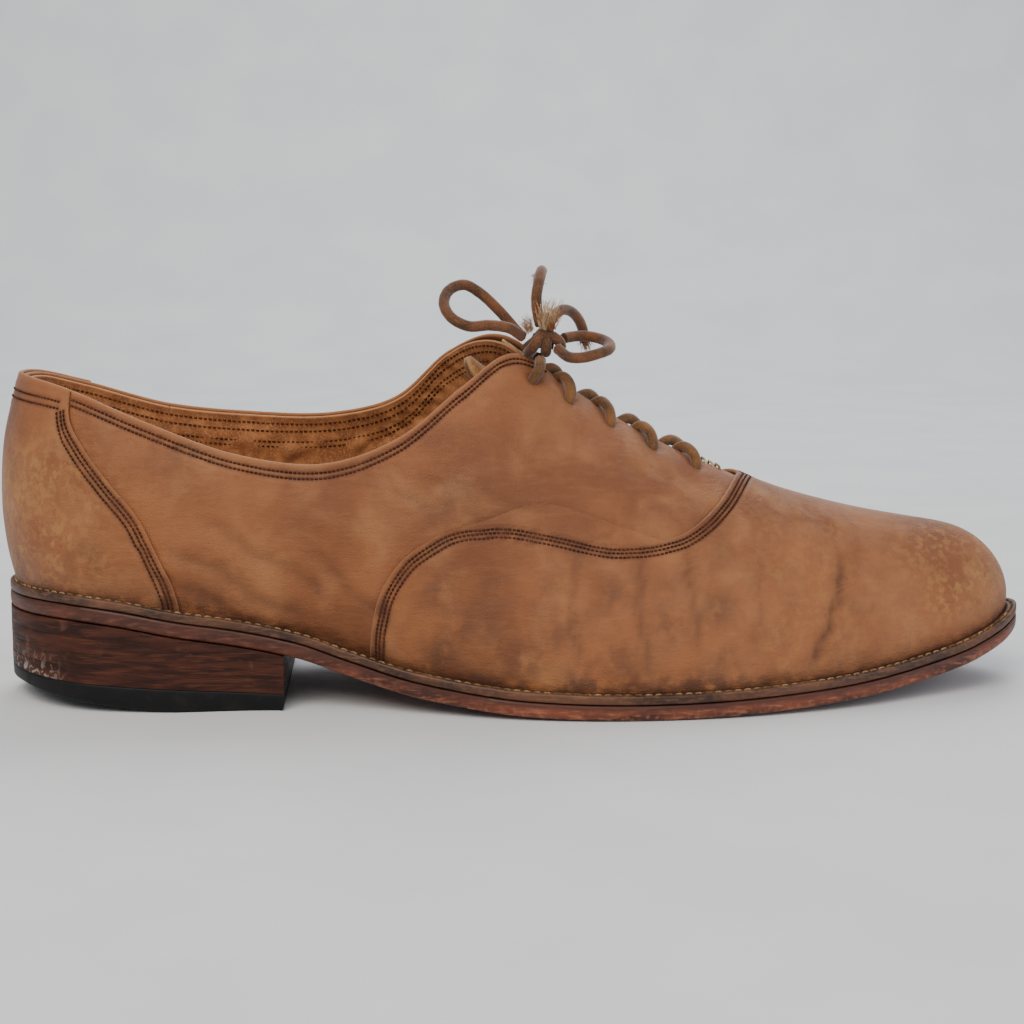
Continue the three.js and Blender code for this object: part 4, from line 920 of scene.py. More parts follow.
@dataclass(frozen=True)
class Fibrous:
    """A suede, board, cork or brushed metal: two sizes of one grain in its colour, gloss and relief."""

    body: str
    dark: str
    light: str
    grain_mm: float
    relief_mm: float
    roughness: float
    stretch: tuple[float, float, float] | None = None
    metallic: float = 0.0
    sheen: float = 0.0
    shows_wear_and_shade: bool = False

    def make(self, name: str) -> bpy.types.Material:
        """The material."""
        m = Material(name)
        grain = Grain(self.grain_mm, 6, self.stretch)
        tones = [
            Tone(self.body, Grain(self.grain_mm * 9, 4, self.stretch), (0.35, 0.7)),
            Tone(self.light, grain, (0.45, 0.75), 0.7),
        ]
        if self.shows_wear_and_shade:
            tones += [
                # Painted shade in the creases, grime and painted shade where the mesh carries them, and paler
                # raw edges.
                Tone(self.dark, channel="crease", strength=0.8),
                Tone(self.dark, channel="grime_and_shade", strength=0.7),
                Tone(self.light, channel="edge", strength=0.6),
            ]
        rough = m.gloss(self.roughness - 0.08, grain, (0.3, 0.8), 0.18)
        relief = [(grain, self.relief_mm), (Grain(self.grain_mm * 0.3, 3), self.relief_mm * 0.4)]
        return m.finish(m.lay(self.dark, *tones), rough, relief, Metallic=self.metallic,
                        Sheen_Weight=self.sheen, Sheen_Roughness=0.4)


@dataclass(frozen=True)
class CottonDrill:
    """Woven cotton drill: diagonal ribs over a cloudy colour."""

    body: str = "#c9ae84"
    dark: str = "#9c8058"
    light: str = "#e0caa4"
    rib_mm: float = 0.45
    relief_mm: float = 0.08
    roughness: float = 0.9

    def make(self, name: str) -> bpy.types.Material:
        """The material."""
        m = Material(name)
        twill = m.ribs(1 / (self.rib_mm * MM) / 6.283, (0.5, 0.6, 0.9), 0.6)
        base = m.lay(self.dark, Tone(self.body, Grain(7), (0.3, 0.7)))
        base = m.cover(base, twill, self.light, 0.5)
        return m.finish(base, self.roughness, [(twill, self.relief_mm), (Grain(0.3, 2), 0.03)])


@dataclass(frozen=True)
class StackedLeather:
    """Waxed and burnished heel stack: fine level fibres, nearly black streaks, pale knocks low down."""

    black: str = "#2a130d"
    body: str = "#4a2619"
    fibre: str = "#643926"
    bloom: str = "#7d5340"
    knock: str = "#a9988a"
    joint: str = "#140a08"

    def make(self, name: str) -> bpy.types.Material:
        """The material."""
        m = Material(name)
        fibre = Grain(0.9, 8, (0.12, 0.12, 1.6))
        streak = Grain(3.2, 6, (0.18, 0.18, 1.5), 0.4)
        base = m.lay(
            self.black,
            Tone(self.body, streak, (0.38, 0.66)),
            Tone(self.fibre, fibre, (0.5, 0.72), 0.6),
            Tone(self.bloom, Grain(11, 6, distortion=1.0), (0.62, 0.74), 0.35),
            Tone(self.knock, Grain(2.6, 8, distortion=1.5), (0.5, 0.6), 1.0, "scuff"),
            Tone(self.joint, channel="grime_and_shade"),
        )
        rough = m.gloss(0.48, fibre, (0.35, 0.7), 0.25)
        return m.finish(base, rough, [(fibre, 0.1), (streak, 0.12)], Specular_IOR_Level=0.22)


@dataclass(frozen=True)
class SoleLeather:
    """Bark-tanned sole leather with a burnished edge: fibres along it, rubbed pale on its arris, with painted
    shade where the welt meets the upper and the sole meets the welt.
    """

    body: str
    dark: str
    light: str

    def make(self, name: str) -> bpy.types.Material:
        """The material."""
        m = Material(name)
        fibre = Grain(1.1, 7, (0.25, 0.25, 1.5))
        cloud = Grain(9, 5, (0.4, 0.6, 1.2), 0.5)
        base = m.lay(
            self.dark,
            Tone(self.body, cloud, (0.36, 0.66)),
            Tone(self.light, fibre, (0.48, 0.74), 0.5),
            Tone(self.light, Grain(1.5, 7, distortion=0.2), (0.46, 0.7), 0.45, "scuff"),
            # Painted shade where the welt meets the upper and at the top of the sole's edge, under the welt.
            Tone(self.dark, channel="grime_and_shade", strength=0.85),
        )
        rough = m.gloss(0.42, cloud, (0.3, 0.7), 0.2)
        return m.finish(base, rough, [(fibre, 0.09), (cloud, 0.1)], Specular_IOR_Level=0.42)


@dataclass(frozen=True)
class HeelRubber:
    """Moulded black rubber, dusty and finely pitted."""

    body: str = "#0b0b0c"
    dust: str = "#2a2725"

    def make(self, name: str) -> bpy.types.Material:
        """The material."""
        m = Material(name)
        dusty = Tone(self.dust, Grain(6, 7, distortion=0.7), (0.5, 0.75), 0.35)
        rough = m.blend("ADD", m.blend("MULTIPLY", m.blotches(dusty), 0.5), 0.55)
        return m.finish(m.lay(self.body, dusty), rough, [(Grain(0.5), 0.05)], Specular_IOR_Level=0.25)


@dataclass(frozen=True)
class LinenThread:
    """Twisted thread: its plies show as a fine diagonal relief, and it is dirty in places."""

    body: str
    dark: str

    def make(self, name: str) -> bpy.types.Material:
        """The material."""
        m = Material(name)
        plies = m.ribs(420.0, (0.3, 0.5, 0.7), 1.0)
        base = m.lay(self.dark, Tone(self.body, Grain(5), (0.35, 0.7)))
        base = m.cover(base, plies, self.dark, 0.35)
        return m.finish(base, 0.8, [(plies, 0.06)], Specular_IOR_Level=0.2)


@dataclass(frozen=True)
class BraidedLace:
    """Round braided cotton: painted shade between its strands, with a bloom of loose fibres."""

    body: str
    dark: str
    light: str
    soot: str = "#1d0f08"

    def make(self, name: str) -> bpy.types.Material:
        """The material."""
        m = Material(name)
        base = m.lay(
            self.dark,
            Tone(self.body, Grain(6, 5), (0.35, 0.7)),
            Tone(self.light, Grain(0.35, 5), (0.45, 0.7), 0.55),
            # Painted shade where the braid's relief dips between strands.
            Tone(self.dark, channel="crease", strength=0.8),
            Tone(self.soot, channel="grime_and_shade", strength=0.9),
        )
        return m.finish(base, 0.85, [(Grain(0.25), 0.1)], Sheen_Weight=0.45, Sheen_Roughness=0.4)


class Finishes:
    """Every material of the shoe, each made once."""

    def __init__(self) -> None:
        """Makes the materials."""
        brushed = (0.1, 1, 1)
        self.calf = CalfLeather().make("calf_leather")
        self.suede = Fibrous("#ae7242", "#86502b", "#cd9264", 0.5, 0.08, 0.85, sheen=0.3,
                             shows_wear_and_shade=True).make("lining_suede")
        self.tongue = Fibrous("#a9743c", "#7d5127", "#c99a63", 0.6, 0.09, 0.85, sheen=0.3,
                              shows_wear_and_shade=True).make("tongue_split_leather")
        self.drill = CottonDrill().make("cotton_drill")
        self.board = Fibrous("#a98c62", "#7d6340", "#c2a67c", 0.9, 0.06, 0.85).make("leather_board")
        self.insole = Fibrous("#a27a4e", "#704c2a", "#b99468", 1.1, 0.06, 0.6).make("insole_leather")
        self.cork = Fibrous("#9c7448", "#5d3f22", "#b98d5c", 1.6, 0.25, 0.9).make("cork")
        self.steel = Fibrous("#8f9296", "#6b6d70", "#b9bcc0", 0.5, 0.01, 0.35, brushed,
                             1.0).make("spring_steel")
        self.brass = Fibrous("#a98a4c", "#6f5628", "#cbb070", 0.7, 0.01, 0.38, None, 1.0).make("rolled_brass")
        self.welt = SoleLeather("#66402a", "#331d12", "#8c6040").make("welt_leather")
        self.sole = SoleLeather("#793e28", "#3c1b0f", "#ae6e50").make("sole_leather")
        self.stack = StackedLeather().make("stacked_leather")
        self.rubber = HeelRubber().make("heel_rubber")
        self.dark_thread = LinenThread("#5f3422", "#37190f").make("linen_thread_brown")
        self.pale_thread = LinenThread("#cdbd9c", "#6d5236").make("linen_thread_natural")
        self.welt_thread = LinenThread("#a48a62", "#5c452c").make("welt_lockstitch_linen")
        self.gold_thread = LinenThread("#7c4a22", "#40220f").make("lining_thread")
        self.lace = BraidedLace("#7c5027", "#462a12", "#a2753f").make("lace_braid_faded")
        self.lace_red = BraidedLace("#744423", "#3c200e", "#9c6737").make("lace_braid_fresh")
        self.fibre = LinenThread("#d8c3a0", "#8f5a30").make("lace_fibres")


def keep_cad_nodes(frame: dict[str, Any], looks: Finishes) -> None:
    """Gives the CAD nodes that stay their real materials."""
    kinds = {
        "heel_stiffener": looks.board, "toe_puff": looks.board, "facing_stay": looks.drill,
        "insole_rib": looks.drill, "insole": looks.insole, "heel_sock": looks.suede,
        "cork_filler": looks.cork, "shank": looks.steel, "heel_nail": looks.steel,
        "top_piece_nail": looks.steel, "eyelet": looks.brass,
    }
    for name, node in frame["nodes"].items():
        match = [key for key in kinds if name.startswith(key)]
        if match:
            node.data.materials.clear()
            node.data.materials.append(kinds[max(match, key=len)])


# ---- Repeated threads and fibres by geometry nodes ---------------------------------------------------


class Repeater(NodeTree):
    """A geometry-node group that puts one small template along lines or over faces."""

    def __init__(self, name: str, fields: Sequence[tuple[str, str]]) -> None:
        """Starts the group, with a named input for each field."""
        super().__init__(bpy.data.node_groups.new(name, "GeometryNodeTree"))
        face = self.tree.interface
        self.ids: dict[str, str] = {}
        for label, kind in (("Geometry", "NodeSocketGeometry"), *fields):
            self.ids[label] = face.new_socket(label, in_out="INPUT", socket_type=kind).identifier
        face.new_socket("Geometry", in_out="OUTPUT", socket_type="NodeSocketGeometry")
        self.inputs = self.tree.nodes.new("NodeGroupInput").outputs
        self.output = self.tree.nodes.new("NodeGroupOutput").inputs[0]

    def close(self, instances: bpy.types.NodeSocket) -> None:
        """Ends the group: the instances become plain mesh with the given material."""
        real = self.add("GeometryNodeRealizeInstances", {"Geometry": instances})
        done = self.add("GeometryNodeSetMaterial",
                        {"Geometry": real.outputs[0], "Material": self.inputs["Material"]})
        self.tree.links.new(done.outputs[0], self.output)

    def apply(self, name: str, carrier: bpy.types.Mesh, template: bpy.types.Object, values: dict[str, Any],
              body: str = SHOE) -> bpy.types.Object:
        """Runs the group on a carrier mesh and keeps the result as a plain mesh that rides on a body."""
        holder = bpy.data.objects.new(name + "_carrier", carrier)
        bpy.context.scene.collection.objects.link(holder)
        modifier = holder.modifiers.new("repeat", "NODES")
        modifier.node_group = self.tree
        for label, value in {**values, "Template": template}.items():
            modifier[self.ids[label]] = value
        depsgraph = bpy.context.evaluated_depsgraph_get()
        data = bpy.data.meshes.new_from_object(holder.evaluated_get(depsgraph), depsgraph=depsgraph)
        data.name = name
        data.shade_smooth()
        bpy.data.objects.remove(holder)
        bpy.data.objects.remove(template)
        obj = bpy.data.objects.new(name, data)
        bpy.context.scene.collection.objects.link(obj)
        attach(obj, body)
        log.info("%s: %d faces", name, len(data.polygons))
        return obj


def stitch_group() -> Repeater:
    """Stitches along lines: X follows the line, and Z leans out of the leather."""
    group = Repeater("stitch_rows", (
        ("Pitch", "NodeSocketFloat"), ("Template", "NodeSocketObject"), ("Material", "NodeSocketMaterial")))
    line = group.add("GeometryNodeMeshToCurve", {"Mesh": group.inputs["Geometry"]})
    even = group.add("GeometryNodeResampleCurve", {"Curve": line.outputs[0], "Length": group.inputs["Pitch"]},
                     mode="LENGTH")
    lean = group.add("GeometryNodeInputNamedAttribute", {"Name": "lean"}, data_type="FLOAT_VECTOR")
    tangent = group.add("GeometryNodeInputTangent")
    along = group.add("FunctionNodeAlignRotationToVector", {"Vector": tangent.outputs[0]}, axis="X")
    turned = group.add("FunctionNodeAlignRotationToVector", {
        "Rotation": along.outputs[0], "Vector": lean.outputs[0]}, axis="Z", pivot_axis="X")
    item = group.add("GeometryNodeObjectInfo", {"Object": group.inputs["Template"]})
    put = group.add("GeometryNodeInstanceOnPoints", {
        "Points": even.outputs[0], "Instance": item.outputs["Geometry"], "Rotation": turned.outputs[0]})
    group.close(put.outputs[0])
    return group


def fray_group() -> Repeater:
    """Loose fibres over the faces of a frayed end, each leaning and scaled a little differently."""
    group = Repeater("frayed_fibres", (
        ("Density", "NodeSocketFloat"), ("Seed", "NodeSocketInt"), ("Template", "NodeSocketObject"),
        ("Material", "NodeSocketMaterial")))
    spots = group.add("GeometryNodeDistributePointsOnFaces", {
        "Mesh": group.inputs["Geometry"], "Density": group.inputs["Density"], "Seed": group.inputs["Seed"]})
    lean = group.add("FunctionNodeRandomValue", {
        "Min": (-0.45, -0.45, -3.1), "Max": (0.45, 0.45, 3.1), "Seed": group.inputs["Seed"]},
        data_type="FLOAT_VECTOR")
    turn = group.add("FunctionNodeRotateRotation", {
        "Rotation": spots.outputs["Rotation"], "Rotate By": lean.outputs[0]}, rotation_space="LOCAL")
    size = group.add("FunctionNodeRandomValue", {"Seed": group.inputs["Seed"]}, data_type="FLOAT")
    size.inputs[2].default_value = 0.45
    size.inputs[3].default_value = 1.2
    item = group.add("GeometryNodeObjectInfo", {"Object": group.inputs["Template"]})
    put = group.add("GeometryNodeInstanceOnPoints", {
        "Points": spots.outputs[0], "Instance": item.outputs["Geometry"], "Rotation": turn.outputs[0],
        "Scale": size.outputs[1]})
    group.close(put.outputs[0])
    return group


def template(name: str, rings: Sequence[tuple[Sequence[float], float]], sides: int,
             first: Sequence[float], second: Sequence[float]) -> bpy.types.Object:
    """A small closed tube to repeat.

    Args:
        name: its name.
        rings: centre and radius of each of its rings, in mm.
        sides: points round a ring.
        first: one axis of its rings.
        second: the other one.

    Returns:
        The template, which is removed once it is used.
    """
    turns = [2 * math.pi * k / sides for k in range(sides)]
    axes = np.array([first, second], float)
    points = [
        (np.array(centre) + radius * (np.array([math.cos(a), math.sin(a)]) @ axes)) * MM
        for centre, radius in rings for a in turns
    ]
    faces = [
        (i + k, i + (k + 1) % sides, i + sides + (k + 1) % sides, i + sides + k)
        for i in range(0, len(points) - sides, sides) for k in range(sides)
    ]
    faces.append(tuple(range(sides))[::-1])
    faces.append(tuple(range(len(points) - sides, len(points))))
    data = bpy.data.meshes.new(name)
    data.from_pydata(points, [], faces)
    obj = bpy.data.objects.new(name, data)
    bpy.context.scene.collection.objects.link(obj)
    return obj


def stitch_template(length: float, radius: float) -> bpy.types.Object:
    """One stitch: a short thread that rises from one hole and dives into the next."""
    rings = [
        ((s * length / 2, 0, radius * (0.75 - 1.6 * s**4)), radius * (1.0 - 0.45 * s**4))
        for s in np.linspace(-1, 1, 7)
    ]
    return template("stitch", rings, 7, (0, 1, 0), (0, 0, 1))


def fibre_template(length: float, radius: float) -> bpy.types.Object:
    """One loose fibre, curling as it rises along Z."""
    rings = [
        ((0.22 * length * s * s, 0.1 * length * math.sin(3 * s), length * s), radius * (1 - 0.6 * s))
        for s in np.linspace(0, 1, 7)
    ]
    return template("fibre", rings, 5, (1, 0, 0), (0, 1, 0))


@dataclass(frozen=True)
class Row:
    """One row of stitches: its points on the leather and the way each leans, in mm."""

    points: Array
    lean: Array


def surface_row(u: Array, v: Array, offset: float) -> Row:
    """A row of stitches at stations u and heights v, on a layer's face."""
    return Row(LAST.layer(u, v, offset), LAST.normal(u, v))


class Stitching:
    """Sews rows of stitches with one node group."""

    def __init__(self, frame: Frame) -> None:
        """Makes the group that repeats a stitch."""
        self.frame = frame
        self.group = stitch_group()

    def sew(self, name: str, rows: Sequence[Row], pitch: float, radius: float, material: bpy.types.Material,
            gap: float = 0.25, body: str = SHOE) -> bpy.types.Object:
        """Sews rows at a pitch, with a gap between stitches, all in mm."""
        points, edges, lean = [], [], []
        for row in rows:
            start = len(points)
            points += self.frame.row(row.points).tolist()
            lean += row.lean.tolist()
            edges += [(start + i, start + i + 1) for i in range(len(row.points) - 1)]
        data = bpy.data.meshes.new(name + "_lines")
        data.from_pydata(points, edges, [])
        data.attributes.new("lean", "FLOAT_VECTOR", "POINT").data.foreach_set(
            "vector", np.array(lean, np.float32).ravel())
        values = {"Pitch": pitch * MM, "Material": material}
        return self.group.apply(name, data, stitch_template(pitch - gap, radius), values, body)


# ---- The upper ------------------------------------------------------------------------------------


@dataclass
class Upper:
    """The vamp, counter cover and quarters, with their stitching."""

    frame: Frame
    looks: Finishes
    stitching: Stitching
    holes: Array
    throat: float = 11.5
    seam_rows: tuple[float, ...] = (1.3, 2.4, 3.7)
    counter_rows: tuple[float, ...] = (1.2, 2.4, 3.9)
    topline_rows: tuple[float, ...] = (2.2, 3.9)

    @staticmethod
    def vamp_grid(rows: int, columns: int) -> tuple[Array, Array]:
        """Stations and heights of the vamp: from its seam to the toe tip, across from side to side."""
        u, v = seam_line(VAMP_SEAM, rows, 0.0)
        u, v = u[::-1], v[::-1]
        u = np.concatenate([u, [u[-1]] * 2])
        v = np.concatenate([v, [-0.5, -1.0]])
        v[0] = 1.0
        toe = np.concatenate([np.linspace(1, 0, rows), [-0.5, -1.0]])
        s = spaced(0, 1, columns, fine_low=0.75)[:, None]
        half_u, half_v = lerp(u[None], 16.0, s), lerp(v[None], toe[None], s)
        both_u = np.concatenate([half_u[:, ::-1], RING - half_u[:, 1:]], 1)
        both_v = np.concatenate([half_v[:, ::-1], half_v[:, 1:]], 1)
        return both_u, both_v

    def vamp_rows(self) -> list[Row]:
        """Three rows round the vamp's seam, from one side of the sole over the throat to the other."""
        rows = []
        u, v = seam_line(VAMP_SEAM, 260, 0.012)
        for distance in self.seam_rows:
            su, sv = LAST.beside(u, v, -distance)
            keep = (sv < 0.985) & (sv > 0.01)
            su, sv = su[keep], sv[keep]
            for side in Side:
                rows.append(surface_row(side.station(su), sv, UPPER_MM - 0.2))
        return rows

    def vamp(self) -> None:
        """The plain-toe vamp."""
        rows = self.vamp_rows()
        u, v = self.vamp_grid(118, 150)
        shell = Shell(u, v, UPPER_MM, 0.0, weld_end=True)
        piece = shell.mesh(np.vstack([r.points for r in rows])).build("vamp_leather", self.frame,
                                                                      self.looks.calf)
        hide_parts("vamp")
        sewn = self.stitching.sew("vamp_stitches", rows, 1.25, 0.28, self.looks.dark_thread, 0.14)

    def counter(self) -> None:
        """The counter cover round the heel, up to the tab over the topline."""
        v = skirted(spaced(-SKIRT_SHARE, 1, 100))
        fine = spline(np.array(COUNTER_EDGE), np.linspace(0, 1, 600), False)
        edge = np.interp(v, fine[:, 1], fine[:, 0])
        s = spaced(-1, 1, 150, 0.0)
        u, vv = edge[None] * s[:, None], np.broadcast_to(v, (150, 100)).copy()
        lift = 0.006 * (1 - smooth(0.2, 1.0, np.abs(s)))[:, None] * smooth(0.9, 1, vv)
        rows = []
        keep = (fine[:, 1] > 0.01) & (fine[:, 1] < 0.9)
        for distance in self.counter_rows:
            for side in Side:
                ru, rv = LAST.beside(fine[keep, 0], fine[keep, 1], distance)
                rows.append(surface_row(side.station(ru), rv, UPPER_MM - 0.2))
        for height in (0.895, 0.93):
            across = np.linspace(-1.85, 1.85, 90)
            rows.append(surface_row(across, np.full(90, height), UPPER_MM - 0.2))
        shell = Shell(u, vv + lift, UPPER_MM, 0.0)
        piece = shell.mesh(np.vstack([r.points for r in rows])).build("counter_leather", self.frame,
                                                                      self.looks.calf)
        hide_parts("counter_cover")
        sewn = self.stitching.sew("counter_stitches", rows, 1.25, 0.28, self.looks.dark_thread, 0.14)

    @staticmethod
    def top_height(u: Array) -> Array:
        """Height of the quarter's edge: the topline, then the facing beside the slit."""
        edge = FACING_GAP / 2 + UPPER_MM / 2
        return np.array([lerp(1.0, float(LAST.below_edge(x, edge)), float(smooth(8.2, 9.0, x))) for x in u])

    def quarter_grid(self, low: Callable[[Array], Array], start: float, columns: int,
                     rows: int) -> tuple[Array, Array]:
        """Stations and heights of a quarter above a low line, from the heel to the throat."""
        u = spaced(start, 11.95, columns)
        top, bottom = self.top_height(u), low(u)
        s = spaced(0, 1, rows, fine_high=0.6)[None]
        v = skirted(lerp(bottom[:, None], top[:, None], s))
        return np.broadcast_to(u[:, None], (columns, rows)).copy(), v

    @staticmethod
    def under_line(u: Array) -> Array:
        """Height of the quarter's hidden lower edge."""
        fine = spline(np.array(UNDERLAP), np.linspace(0, 1, 600), False)
        ramp = np.interp(u, (5.3, 6.0), (-SKIRT_SHARE, float(np.interp(6.0, fine[:, 0], fine[:, 1]))))
        return np.where(u < 6.0, ramp, np.interp(u, fine[:, 0], fine[:, 1]))

    def topline_row(self, side: Side, distance: float, low: float, high: float, offset: float) -> Row:
        """A row of stitches a distance below the topline."""
        u = np.linspace(low, high, 320)
        v = np.array([float(LAST.below_edge(float(side.station(x)), distance)) for x in u])
        return surface_row(side.station(u), v, offset)

    def quarters(self) -> None:
        """The two quarters, which meet at the heel and lace over the tongue."""
        u, v = self.quarter_grid(self.under_line, 0.02, 270, 84)
        for side in Side:
            name = side.name.lower()
            rows = [self.topline_row(side, d, 2.05, 8.75 - 0.1 * d,
                                     QUARTER_OUT - 0.2) for d in self.topline_rows]
            shell = Shell(side.station(u), v, QUARTER_OUT, QUARTER_IN)
            mesh = shell.mesh(np.vstack([r.points for r in rows]), self.holes)
            piece = mesh.build(f"quarter_leather_{name}", self.frame, self.looks.calf)
            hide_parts(f"quarter_{name}")
            sewn = self.stitching.sew(f"topline_stitches_{name}", rows, 1.25, 0.28, self.looks.dark_thread,
                                      0.14)

    def tack(self) -> None:
        """The bar tack: four pale threads across the foot of the facings."""
        rows = []
        for station in (10.82, 10.92, 11.02, 11.12):
            v = LAST.below_edge(station, np.array([4.2, 3, 1.6, 0.6]))
            heights = np.concatenate([v, [1.0], v[::-1]])
            stations = np.concatenate([[station] * 4, [station], [RING - station] * 4])
            lift = np.array([-0.6, 0.25, 0.5, 0.55, 0.6, 0.55, 0.5, 0.25, -0.6])
            rows.append(LAST.layer(stations, heights, lift))
        build = Mesh()
        for row in rows:
            tube(build, spline(row, np.linspace(0, 1, 40), False), 0.36, 10)
        piece = build.build("bar_tack_threads", self.frame, self.looks.pale_thread)
        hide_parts("bar_tack")

    def make(self) -> None:
        """Makes every piece of the upper."""
        self.vamp()
        self.counter()
        self.quarters()
        self.tack()


@dataclass
class Linings:
    """The heel, quarter and vamp linings, with the rows of stitches along the topline."""

    frame: Frame
    looks: Finishes
    stitching: Stitching
    upper: Upper
    topline_rows: tuple[float, ...] = (2.4, 5.0, 8.6, 10.4)

    def shell(self, u: Array, v: Array) -> Shell:
        """A lining over a grid of stations and heights, slack on its inner face."""
        outer = lining_out(u, v)
        p = LAST.point(u, np.maximum(v, 0))
        slack = 0.8 * waves(p * np.array([0.9, 0.5, 1.4]), 11, 41)
        slack = slack * smooth(0.2, 0.5, v) * (1 - smooth(0.8, 0.9, v))
        slack = slack * (1 - smooth(6.6, 7.6, Last.folded(u)))
        return Shell(u, v, outer, outer - LINING_MM - np.maximum(slack, 0), grime_and_shade=0.35)

    def make(self) -> None:
        """Makes the linings."""
        v = skirted(spaced(-SKIRT_SHARE, 0.992, 80, fine_high=0.5))
        u = np.broadcast_to(np.linspace(-3, 3, 110)[:, None], (110, 80)).copy()
        heel = self.shell(u, np.broadcast_to(v, u.shape).copy())
        piece = heel.mesh().build("heel_lining_suede", self.frame, self.looks.suede)
        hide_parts("heel_lining")
        for side in Side:
            self.quarter_lining(side)
        u, v = self.upper.vamp_grid(60, 70)
        u = np.where(np.mod(u, RING) < 16, u + 0.02, u - 0.02)
        u[-1] = 16
        lining = Shell(u, v, lining_out(u, v), lining_out(u, v) - LINING_MM, weld_end=True)
        piece = lining.mesh().build("vamp_lining_drill", self.frame, self.looks.drill)
        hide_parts("vamp_lining")

    def quarter_lining(self, side: Side) -> None:
        """One quarter's lining, from the heel lining to the vamp's."""
        seam = spline(np.array(VAMP_SEAM), np.linspace(0, 1, 800), False)

        def low(u: Array) -> Array:
            """Lowest height at each station, just above the seam."""
            return np.maximum(np.interp(u, seam[:, 0], seam[:, 1]) + 0.006, -SKIRT_SHARE)

        u = spaced(3.02, 11.4, 190)
        top, bottom = self.upper.top_height(u) - 0.008, low(u)
        s = spaced(0, 1, 70, fine_high=0.5)[None]
        u = np.broadcast_to(u[:, None], (190, 70)).copy()
        v = skirted(lerp(bottom[:, None], np.maximum(top, bottom + 0.01)[:, None], s))
        name = side.name.lower()
        piece = self.shell(side.station(u), v).mesh().build(f"quarter_lining_suede_{name}", self.frame,
                                                            self.looks.suede)
        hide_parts(f"quarter_lining_{name}")
        inside = []
        for distance in self.topline_rows:
            line = np.linspace(0.3, 8.5 - 0.08 * distance, 340)
            v = np.array([float(LAST.below_edge(float(side.station(x)), distance)) for x in line])
            station = side.station(line)
            p = LAST.layer(station, v, lining_out(station, v) - LINING_MM + 0.1)
            inside.append(Row(p, -LAST.normal(station, v)))
        sewn = self.stitching.sew(f"lining_stitches_{name}", inside, 1.5, 0.3, self.looks.gold_thread)


# ---- Tongue -----------------------------------------------------------------------------------------


@dataclass
class TonguePiece:
    """The tongue: under the lace from below the throat, then straight on past the facings."""

    frame: Frame
    looks: Finishes
    base_station: float = 11.9
    straight_station: float = 9.0
    run_mm: float = 31.0
    way: tuple[float, float, float] = (-0.8, 0.0, 0.6)
    half_width: tuple[float, float] = (12.0, 34.0)
    thickness: float = 2.2
    skive: float = 0.45
    edge_bulge: float = 0.5
    under: float = LACE_UNDER - LACE_DIP - LACE_R - 4 * GAP_MM

    def make(self) -> None:
        """Makes the tongue as one padded, raw-edged shell on its own body."""
        rows = np.concatenate([np.linspace(-1, -0.04, 26),
                               np.linspace(self.straight_station, self.base_station - 0.08, 52)])
        across = np.linspace(-1, 1, 61)
        seated = QUARTER_IN - LINING_MM - 3 * GAP_MM - GAP_MM
        outer, inner = [], []
        for row in rows:
            u = max(row, self.straight_station)
            widening = 1 - float(smooth(self.straight_station, self.base_station, u))
            reach = np.abs(across) * lerp(*self.half_width, widening)
            v = LAST.below_edge(u, reach)
            stations = np.where(across < 0, u, RING - u)
            foot = float(smooth(11.1, self.base_station, u))
            offset = lerp(self.under, seated, foot) - self.skive * foot
            base, normal = LAST.point(stations, v), LAST.normal(stations, v)
            away = np.array(self.way) * max(-row, 0) * self.run_mm
            outer.append(base + normal * offset + away)
            inner.append(base + normal * (offset - self.thickness + 2 * self.skive * foot) + away)
        outer, inner = np.array(outer), np.array(inner)
        self.build(outer, inner)

    def build(self, outer: Array, inner: Array) -> None:
        """Closes the two faces with rounded raw edges."""
        n, m = outer.shape[:2]
        wear = np.zeros((n, m, 4))
        wear[..., 2] = 0.25 + 0.25 * waves((outer + inner) / 2, 8, 51)
        half = np.full((n, m), self.thickness / 2)
        loop, tint = closed_columns(outer, inner, unit(outer - inner), half, wear, self.edge_bulge)
        build = Mesh()
        start = build.add(loop, tint)
        build.grid(start, n, loop.shape[1], wrap=True)
        for i in (0, n - 1):
            close_end(build, loop, tint, start, i, m)
        piece = build.build("tongue_leather", self.frame, self.looks.tongue, TONGUE)
        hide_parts("tongue")


# ---- Lace -------------------------------------------------------------------------------------------

LAYER_ROWS = [-1, 0, 0.14, 0.3, 0.46, 0.61, 0.73, 0.83, 0.92, 1]
HALF_COLUMNS = [
    0, 0.5, 1, 1.5, 2, 3, 4, 5, 6, 7, 8, 8.5, 9, 9.5, 10, 10.5, 11, 11.5, 12, 13, 13.5, 14, 14.5, 15, 15.5,
    16,
]
LAYER_COLUMNS = [*HALF_COLUMNS, *[RING - u for u in HALF_COLUMNS[:-1]][::-1]]

